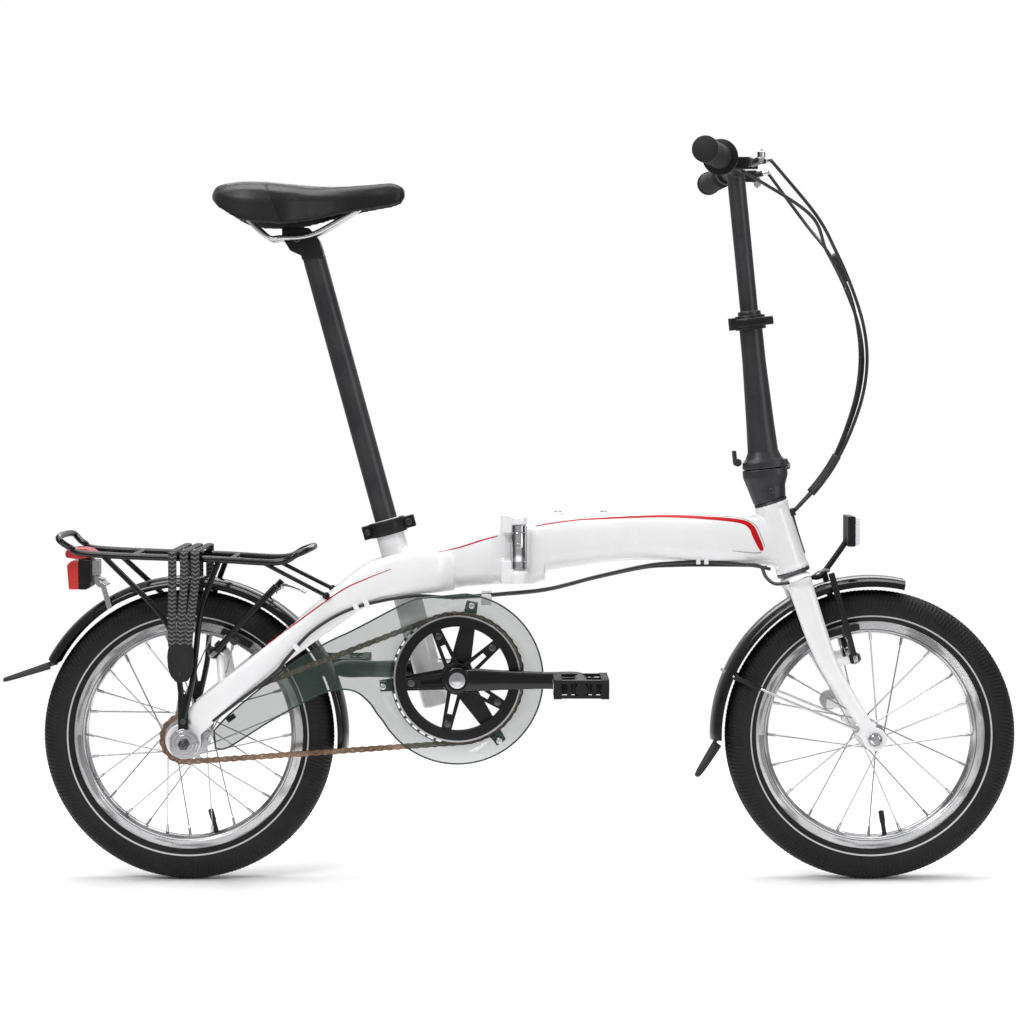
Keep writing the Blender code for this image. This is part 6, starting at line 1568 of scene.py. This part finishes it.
def make_rack():
    half = 0.055
    plan = [(-0.171, -half, 0.0245), (-0.1548, -half, 0.011), (-0.1268, -half, 0.002), (0.04, -half, -0.005),
            (0.1267, -half, -0.009), (0.156, -half, 0.002), (0.1725, -half * 0.45, 0.0085)]
    route = [rear(x, y, DECK + z) for x, y, z in plan + [(x, -y, z) for x, y, z in reversed(plan)]]
    wide = [route[-1]] + route + [route[0]]
    smooth = curve(wide, 10)[10:-10] + curve([route[-2], route[-1], route[0], route[1]], 10)[11:20]
    shapes = [tube(smooth, 0.0045, 20, closed=True)]
    feet = []

    def side_shapes(side):
        foot_y = side * 0.0768
        foot = rear(0.002, foot_y, 0.032)
        front_strut = [foot, rear(0.015, foot_y - side * 0.001, 0.09), rear(0.0185, side * 0.0735, 0.124),
                       rear(0.026, side * 0.064, 0.184), rear(0.049, side * half, DECK - 0.0052)]
        back_strut = [rear(-0.001, foot_y, 0.06), rear(-0.008, foot_y - side * 0.001, 0.11),
                      rear(-0.024, side * 0.07, 0.166), rear(-0.111, side * half, DECK + 0.0012)]
        lug = block(rear(0.001, foot_y - side * 0.001, 0.038), UP, SIDE, (0.0275, 0.003, 0.0068))
        stay = [rear(0.106, side * half, DECK - 0.008), rear(0.196, side * 0.062, 0.199)]
        feet.append(bolt(rear(0.001, foot_y + side * 0.002, 0.028), side * SIDE, 0.004, 0.0022))
        return [bend(front_strut, 0.004, 8), bend(back_strut, 0.004, 8), lug, tube(stay, 0.003, 14),
                rod_eye(stay[-1], 0.005)]

    shapes += mirrored(side_shapes)
    for x, z in ((0.064, -0.0062), (-0.07, -0.0005)):
        shapes.append(tube([rear(x, -half, DECK + z), rear(x, half, DECK + z)], 0.0038, 16))
    piece("rack", shapes, "black_paint", "rear_frame", ["rack"], bevel=0.0003)
    piece("rack bolts", feet, "dark_steel", "rear_frame", bevel=0.0003)


make_rack()


# %% [markdown]
# ## Straps
# Three flat braids are pulled tight over the deck. Since they are stretched, they need no simulation:
# a thin oval section follows the route, and the braid is a pattern along its length.


# %% Straps over the rack
def make_straps():
    """Three braided bands over the deck, gathered into a rubber end on each side."""
    outer = 0.0853
    top = DECK + 0.0072
    steps = 16
    lengths = []
    bands = []
    for k, x in enumerate((-0.0115, 0.0043, 0.0195)):
        low_x = -0.0008 + 0.0106 * (k - 1)
        route = [(low_x, -outer, 0.125), (low_x * 1.1, -outer, 0.15), (x, -outer, 0.22),
                 (x, -outer + 0.0006, top - 0.006),
                 (x, -outer + 0.004, top - 0.0008), (x, -outer + 0.01, top), (x, 0, top), (x, outer - 0.01, top),
                 (x, outer - 0.004, top - 0.0008), (x, outer - 0.0006, top - 0.006), (x, outer, 0.22),
                 (x, outer, 0.16)]
        path = curve([rear(*p) for p in route], 8)
        rings = []
        for i, (point, way) in enumerate(zip(path, headings(path))):
            flat = FORE - way.x * way
            rings.append(oval(point, 0.0058 * flat.normalized(), 0.0017 * way.cross(flat).normalized(), steps, 2.4))
            lengths.append((lengths[-1] if i else 0.0) + ((point - path[i - 1]).length if i else 0.0))
        bands.append(skin(rings))
    made = piece("straps", bands, "woven_strap", "rear_frame", ["rack_straps"])
    layer = made.data.uv_layers.new(name="along")
    for loop in made.data.loops:
        ring = loop.vertex_index // steps
        layer.data[loop.index].uv = ((loop.vertex_index % steps + 0.5) / steps, lengths[ring])
    outline = [(-0.012, 0.133), (-0.0175, 0.129), (-0.019, 0.118), (-0.018, 0.103), (-0.014, 0.091),
               (-0.008, 0.084),
               (0.0, 0.082), (0.009, 0.085), (0.014, 0.093), (0.0165, 0.105), (0.017, 0.12), (0.016, 0.13),
               (0.012, 0.133)]
    end = plate(beside(REAR, outline), -outer - 0.0028, -outer + 0.0017)
    inset = plate([(REAR.x + 0.78 * x - 0.0002, REAR.z + 0.1075 + 0.78 * (z - 0.1075)) for x, z in outline],
                  -outer - 0.0034,
                  -outer - 0.0026)
    top_end = [(-0.016, 0.156), (-0.018, 0.162), (-0.012, 0.172), (0.018, 0.172), (0.022, 0.162), (0.02, 0.156)]
    far_end = plate(beside(REAR, top_end), outer - 0.0017, outer + 0.0017)
    piece("strap ends", [end, inset, far_end], "black_rubber", "rear_frame", bevel=0.0008)
    rivet = rear(-0.002, -outer - 0.0034, 0.0935)
    piece("strap rivet", [turned([(0, 0.0032), (0.0005, 0.0028)], rivet, -SIDE, 20)], "dark_steel", "rear_frame")


make_straps()


# %% [markdown]
# ## Tail light
# A lens, a reflector and a dark body are plates with their own outlines. Prisms in the reflector are a
# patterned finish.


# %% Tail light
shell = beside(REAR, [(-0.134, 0.208), (-0.133, 0.245), (-0.15, 0.247), (-0.15, 0.204), (-0.14, 0.204)])
piece("light body", [plate(shell, -0.0218, 0.0218)], "black_plastic", "rear_frame", ["tail_light"], bevel=0.0016)
dome = beside(REAR,
              [(-0.168, 0.248), (-0.169, 0.256), (-0.164, 0.2615), (-0.15, 0.2625), (-0.135, 0.26), (-0.127, 0.254),
           (-0.127, 0.249), (-0.15, 0.246)])
piece("light lens", [plate(dome, -0.0205, 0.0205)], "red_lens", "rear_frame", bevel=0.0022)
reflector = beside(REAR, [(-0.15, 0.204), (-0.15, 0.244), (-0.16, 0.244), (-0.1665, 0.238), (-0.164, 0.204)])
piece("light reflector", [plate(reflector, -0.0205, 0.0205)], "red_prism", "rear_frame", bevel=0.0012)
holder = [block(rear(-0.1285, 0, 0.234), UP, SIDE, (0.0105, 0.013, 0.0048)),
          block(rear(-0.127, 0, 0.218), UP, SIDE, (0.005, 0.0075, 0.0035)),
          plate(beside(REAR, [(-0.13, 0.224), (-0.117, 0.218), (-0.117, 0.208), (-0.123, 0.206), (-0.13, 0.212)]),
                -0.012, 0.008),
          plate(beside(REAR, [(-0.12, 0.217), (-0.111, 0.211), (-0.102, 0.18), (-0.109, 0.177)]), -0.0316, -0.0304),
          plate(beside(REAR, [(-0.12, 0.217), (-0.111, 0.211), (-0.111, 0.2095), (-0.12, 0.2155)]), -0.0316, 0.012)]
piece("light bracket", holder, "silver", "rear_frame", bevel=0.0006)


# %% [markdown]
# ## Rim brakes
# Each arm turns on a post beside the rim and carries a shoe. Both wheels use one builder with their
# own places, so that the four arms match.


# %% Rim brakes
BRAKES = {"rear": (REAR, 47.1, 0.127, 63.4, "rear_frame"), "front": (FRONT, 105.8, 0.1227, 105.2, "fork")}


def make_brake(end, side):
    hub, lean, length, shoe_angle, _ = BRAKES[end]
    name = f"{end}_brake_" + ("right" if side < 0 else "left")
    lean = math.radians(lean)
    along = outward(lean)
    normal = Vector((-math.sin(lean), 0, math.cos(lean)))
    across = side * SIDE
    pivot = PLACE[name + "_squeeze"]
    route = curve([Vector((a, b, c)) for a, b,
                   c in ((-0.03, 0.0, 0.0066), (0.1, 0.003, 0.0066), (0.28, 0.008, 0.006),
                                                     (0.6, 0.0105, 0.0052), (0.88, 0.008, 0.0044),
                                                     (1.0, 0.006, 0.0034))], 5)
    rings = [oval(pivot + r[0] * length * along + r[1] * across, r[2] * across, 0.0043 * normal, 24,
                  3.2) for r in route]
    shapes = [skin(rings), turned([(-0.0058, 0.0072), (0.0058, 0.0072)], pivot, normal, 32)]
    piece(name + " arm", shapes, "black_plastic", name, [name], bevel=0.0005)
    out = outward(math.radians(shoe_angle))
    tangent = Vector((-out.z, 0, out.x))
    centre = hub + (0.1595 - 0.0075) * out + 0.0185 * across
    rubber = block(centre, tangent, out, (0.023, 0.0042, 0.0048))
    piece(name + " shoe", [rubber], "black_rubber", name, bevel=0.0012)
    reach = (centre - pivot).dot(along)
    on_arm = pivot + reach * along + 0.0085 * across
    elbow = centre + (on_arm - centre).dot(across) * across
    hardware = [tube([centre, elbow + 0.0038 * across], 0.0028, 16), tube([elbow, on_arm], 0.0034, 16),
                turned([(0, 0.006), (0.0028, 0.0066), (0.004, 0.006)], elbow - 0.004 * across, across, 28),
                bolt(pivot + 0.0058 * normal, normal, 0.0052, 0.003),
                bolt(pivot - 0.0058 * normal, -normal, 0.0052, 0.0026)]
    piece(name + " hardware", hardware, "dark_steel", name, bevel=0.0003)
    coil = []
    for k in range(40):
        a = 2 * math.pi * k / 10
        coil.append(pivot + (0.0006 * k / 4 - 0.0034) * normal + 0.0082 * (math.cos(a) * along + math.sin(a) * across))
    coil.append(pivot + 0.0045 * normal + 0.03 * along + 0.012 * across)
    piece(name + " spring", [tube(coil, 0.0007, 8)], "silver", name)


for end in ("rear", "front"):
    for side in (-1, 1):
        make_brake(end, side)
noodle = [rear(0.1262, 0.048, 0.2015), rear(0.127, 0.02, 0.204), rear(0.133, 0.0, 0.209), rear(0.148, -0.01, 0.207),
          rear(0.164, -0.015, 0.2)]
piece("rear noodle", [bend(noodle, 0.0022, 8, 12)], "silver", "rear_brake_left")
boot = [rear(0.1262, 0.043, 0.2015), rear(0.124, 0.0, 0.201), rear(0.1262, -0.043, 0.2015)]
piece("rear inner cable", [bend(boot, 0.0011, 8, 8)], "silver", "rear_brake_left")
print("brakes done")

# %% [markdown]
# ## Front reflector
# A prism plate in a dark holder stands on a bent arm. The arm is a curve, the rest are plates, and the
# prisms are a pattern.


# %% Front reflector
low = front(-0.035, 0, 0.264)
body = plate([(low.x, low.z), (low.x + 0.01, low.z), (low.x + 0.01, low.z + 0.042), (low.x, low.z + 0.042)], -0.028,
             0.028)
arm_end = CROWN + 0.0225 * FORWARD
arm_route = [arm_end - 0.004 * FORWARD, arm_end + Vector((0.012, 0, -0.001)), arm_end + Vector((0.025, 0, 0.015)),
             Vector((low.x + 0.002, 0, low.z + 0.008)), Vector((low.x + 0.004, 0, low.z + 0.019))]
piece("reflector body", [body, bend(arm_route, 0.004, 6)], "black_plastic", "fork", ["front_reflector"],
      bevel=0.0012)
lens = plate([(low.x + 0.0102, low.z + 0.001), (low.x + 0.016, low.z + 0.003), (low.x + 0.016, low.z + 0.039),
              (low.x + 0.0102, low.z + 0.041)], -0.0275, 0.0275)
piece("reflector lens", [lens], "white_prism", "fork", bevel=0.0012)
print("reflector done")


# %% [markdown]
# ## Cables
# Casings run down from the bar. The loose stretches are smooth tubes fixed in place and attached to no
# body; the others ride on the frame, the fork or a brake arm.


# %% Control cables
def flexible(name, shapes, look="cable"):
    """Cables as one mesh fixed in place, not attached to any body."""
    mesh = mesh_of(name, shapes)
    mesh.shade_smooth()
    made = bpy.data.objects.new(label(name), mesh)
    bpy.context.scene.collection.objects.link(made)
    mesh.materials.append(M[look])
    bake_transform(made)
    return made


LOOP = [(0.4138, 0.9195), (0.4465, 0.8722), (0.4719, 0.8249), (0.4901, 0.7741), (0.4967, 0.7268), (0.4919, 0.6795),
        (0.4775, 0.6325), (0.4575, 0.5888), (0.432, 0.5524), (0.3975, 0.515)]
SPREAD = (0.78, 0.42, 0.16, 0.05, 0.0, 0.0, 0.0, 0.0, 0.0, 0.0)
starts = [bar_at(-0.108, 0.0575, 0.0015), bar_at(-0.132, 0.024, -0.015), bar_at(0.108, 0.0575, 0.0015)]
upper = []
lower = []
for k, (start, lane) in enumerate(zip(starts, (-0.0052, 0.0, 0.0052))):
    inward = (0.0, 0.009, 0.0045)[k]
    shift = [0.0, 0.01, -0.006][k]
    points = [start]
    for i, ((x, z), share) in enumerate(zip(LOOP, SPREAD)):
        bulge = math.sin(math.pi * i / 9)
        points.append(Vector((x - inward * bulge - (shift if i < 2 else 0), share * start.y + lane, z)))
    whole = curve(points, 12)
    upper.append(whole[: 3 * 12 + 1])
    lower.append(whole[3 * 12 :])


def between(path, low, high):
    """The points of a path whose height is between two values."""
    return [p for p in path if low <= p.z <= high]


flexible("upper cables", [tube(path, 0.0023, 12) for path in upper])
casings = [tube(path, 0.0023, 12) for path in lower]
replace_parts(flexible("lower cables", casings), "control_cables")
wrap = [sum((path[i] for path in upper), Vector()) / 3 for i in range(len(upper[0]))]
sleeve = tube(between(wrap, 0.83, 0.87), 0.0064, 12)
flexible("upper wrap", [sleeve], "woven_sleeve")
wrap = [sum((path[i] for path in lower), Vector()) / 3 for i in range(len(lower[0]))]
sleeve = tube(between(wrap, 0.54, 0.595), 0.0064, 12)
flexible("lower wrap", [sleeve], "woven_sleeve")

under = []
for y, drop in ((-0.012, 0.0), (0.012, 0.006)):
    under.append([front(-0.142, y * 2.2, 0.233), front(-0.17, y * 1.6, 0.238 - drop * 0.5),
                  front(-0.227, y, 0.242 - drop),
                  front(-0.276, y * 1.3, 0.241 - drop), front(-0.315, y * 2.0, 0.2375 - drop),
                  front(-0.382, y * 2.4, 0.223 - drop),
                  front(-0.45, y * 2.4, 0.206 - drop), front(-0.516, y * 2.4, 0.199 - drop),
                  front(-0.585, y * 2.6, 0.194 - drop)])
casings = [bend(route, 0.0024, 12, 12) for route in under]
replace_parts(flexible("frame cables", casings),
            "frame_cables")
rear_cable = [(-0.081, -0.0312, 0.3965), (-0.1375, -0.042, 0.399), (-0.2131, -0.056, 0.3838),
              (-0.2666, -0.066, 0.3551),
              (-0.3029, -0.07, 0.3169), (-0.3248, -0.072, 0.2923), (-0.4055, -0.07, 0.23)]
piece("rear cable", [bend(rear_cable, 0.0023, 10, 12)], "cable", "rear_frame")
clips = [block(Vector(p), Vector(d), SIDE, (0.0035, 0.0045, 0.005)) for p, d in
         (((-0.195, -0.052, 0.3895), (1, 0, 0.4)), ((-0.209, -0.055, 0.385), (1, 0, 0.5)),
          ((-0.29, -0.069, 0.331), (1, 0, 1)))]
piece("cable clips", clips, "white_paint", "rear_frame", bevel=0.0008)
head_cable = [(0.395, 0.004, 0.512), (0.3985, 0.005, 0.498), (0.4065, 0.006, 0.472), (0.4125, 0.012, 0.456)]
piece("head cable", [bend(head_cable, 0.0023, 8, 12),
                     block(Vector((0.3945, 0, 0.5135)), HEAD_AXIS, SIDE, (0.005, 0.009, 0.0035))],
      "cable", "front_frame")
route = [(0.33, -0.026, 0.442), (0.348, -0.03, 0.4395), (0.3545, -0.038, 0.426), (0.366, -0.048, 0.417),
         (0.3859, -0.054, 0.419)]
flexible("front brake cable", [bend(route, 0.0024, 12, 12)])
piece("front noodle",
      [bend([(0.3859, -0.054, 0.419), (0.408, -0.0575, 0.427), (0.428, -0.048, 0.435), (0.442, -0.04, 0.4345)],
                            0.0021, 8, 12)], "silver", "fork")
beam_clips = [block(front(-0.23 - 0.011 * k, 0, 0.244), FORE, SIDE, (0.003, 0.018, 0.005)) for k in (0, 1)]
piece("beam clips", beam_clips, "white_paint", "front_frame", bevel=0.0008)
tab = front(-0.535, 0, 0.191)
piece("cable tab", [block(tab, FORE, SIDE, (0.007, 0.033, 0.0075))], "white_paint", "rear_frame", bevel=0.0015)
print("cables done")

# %% [markdown]
# ## Frame latch
# The lever that locks the two halves lies flat on the far side. Ovals lofted along a bent line give its
# taper, and its pivot is turned.


# %% Frame latch
latch = PLACE["frame_latch_swing"]
route = curve([latch + Vector((x, y, 0)) for x,
               y in ((0.0, 0.001), (0.025, 0.005), (0.06, 0.0045), (0.095, 0.003))], 8)
heights = curve([Vector((h, 0)) for h in (0.015, 0.013, 0.011, 0.0085)], 8)
rings = [oval(p, 0.0033 * SIDE, h[0] * UP, 28, 3.2) for p, h in zip(route, heights)]
nose = block(latch + Vector((-0.003, 0.0015, 0)), FORE, SIDE, (0.0053, 0.0038, 0.0148))
piece("frame latch", [skin(rings), turned([(-0.0185, 0.0063), (0.0185, 0.0063)], latch, UP, 32), nose], "graphite",
      "frame_latch", ["frame_latch_lever"], bevel=0.0007)
print("latch done")

# %% [markdown]
# ## Studio
# A plain pale floor, large soft lights and a camera level with the middle of the bicycle.

# %% Floor, lights, world and camera
floor_mesh = bpy.data.meshes.new("floor")
floor_mesh.from_pydata([(-30, -30, 0), (30, -30, 0), (30, 30, 0), (-30, 30, 0)], [], [(0, 1, 2, 3)])
floor = bpy.data.objects.new("floor", floor_mesh)
bpy.context.scene.collection.objects.link(floor)
paper = finish("studio floor", (0.93, 0.93, 0.93), (0.95, 0.95, 0.95), 0.7, grain=0.0, Specular_IOR_Level=0.1)
paper_tree = paper.node_tree
away = wire(paper_tree, "VectorMath", {0: paper_tree.nodes.new("ShaderNodeTexCoord").outputs["Object"]},
            operation="LENGTH")
into(paper, "Alpha", maths(paper_tree, "SUBTRACT", 1.0, blend_factor(paper_tree, away.outputs["Value"], 0.9, 1.6)))
floor_mesh.materials.append(paper)


def softbox(name, place, aim, width, height, power):
    light = bpy.data.lights.new(name, "AREA")
    light.shape = "RECTANGLE"
    light.size = width
    light.size_y = height
    light.energy = power
    made = bpy.data.objects.new(name, light)
    bpy.context.scene.collection.objects.link(made)
    made.location = place
    made.rotation_euler = (Vector(aim) - Vector(place)).to_track_quat("-Z", "Y").to_euler()


softbox("key", (-1.6, -2.6, 3.0), (0, 0, 0.5), 1.8, 1.2, 62)
softbox("fill", (2.8, -2.4, 1.4), (0, 0, 0.5), 1.2, 2.4, 22)
softbox("top", (0, 0.2, 3.2), (0, 0, 0), 3.4, 2.2, 120)
softbox("back", (0.4, 3.4, 2.2), (0, 0, 0.5), 3.4, 1.6, 40)

world = bpy.data.worlds.new("studio")
bpy.context.scene.world = world
world.use_nodes = True
sky = world.node_tree
sky.nodes["Background"].inputs[0].default_value = (1, 1, 1, 1)
seen = wire(sky, "LightPath").outputs["Is Camera Ray"]
sky.links.new(maths(sky, "MULTIPLY_ADD", seen, 0.62, 0.38), sky.nodes["Background"].inputs[1])
bpy.context.scene.view_settings.view_transform = "Standard"

camera = bpy.data.cameras.new("camera")
camera.sensor_width = 36
camera.lens = 88.5
viewer = bpy.data.objects.new("camera", camera)
bpy.context.scene.collection.objects.link(viewer)
viewer.location = (0.0046, -3.5, 0.69)
viewer.rotation_euler = (Vector((0.0046, 0, 0.5133)) - viewer.location).to_track_quat("-Z", "Y").to_euler()
bpy.context.scene.camera = viewer
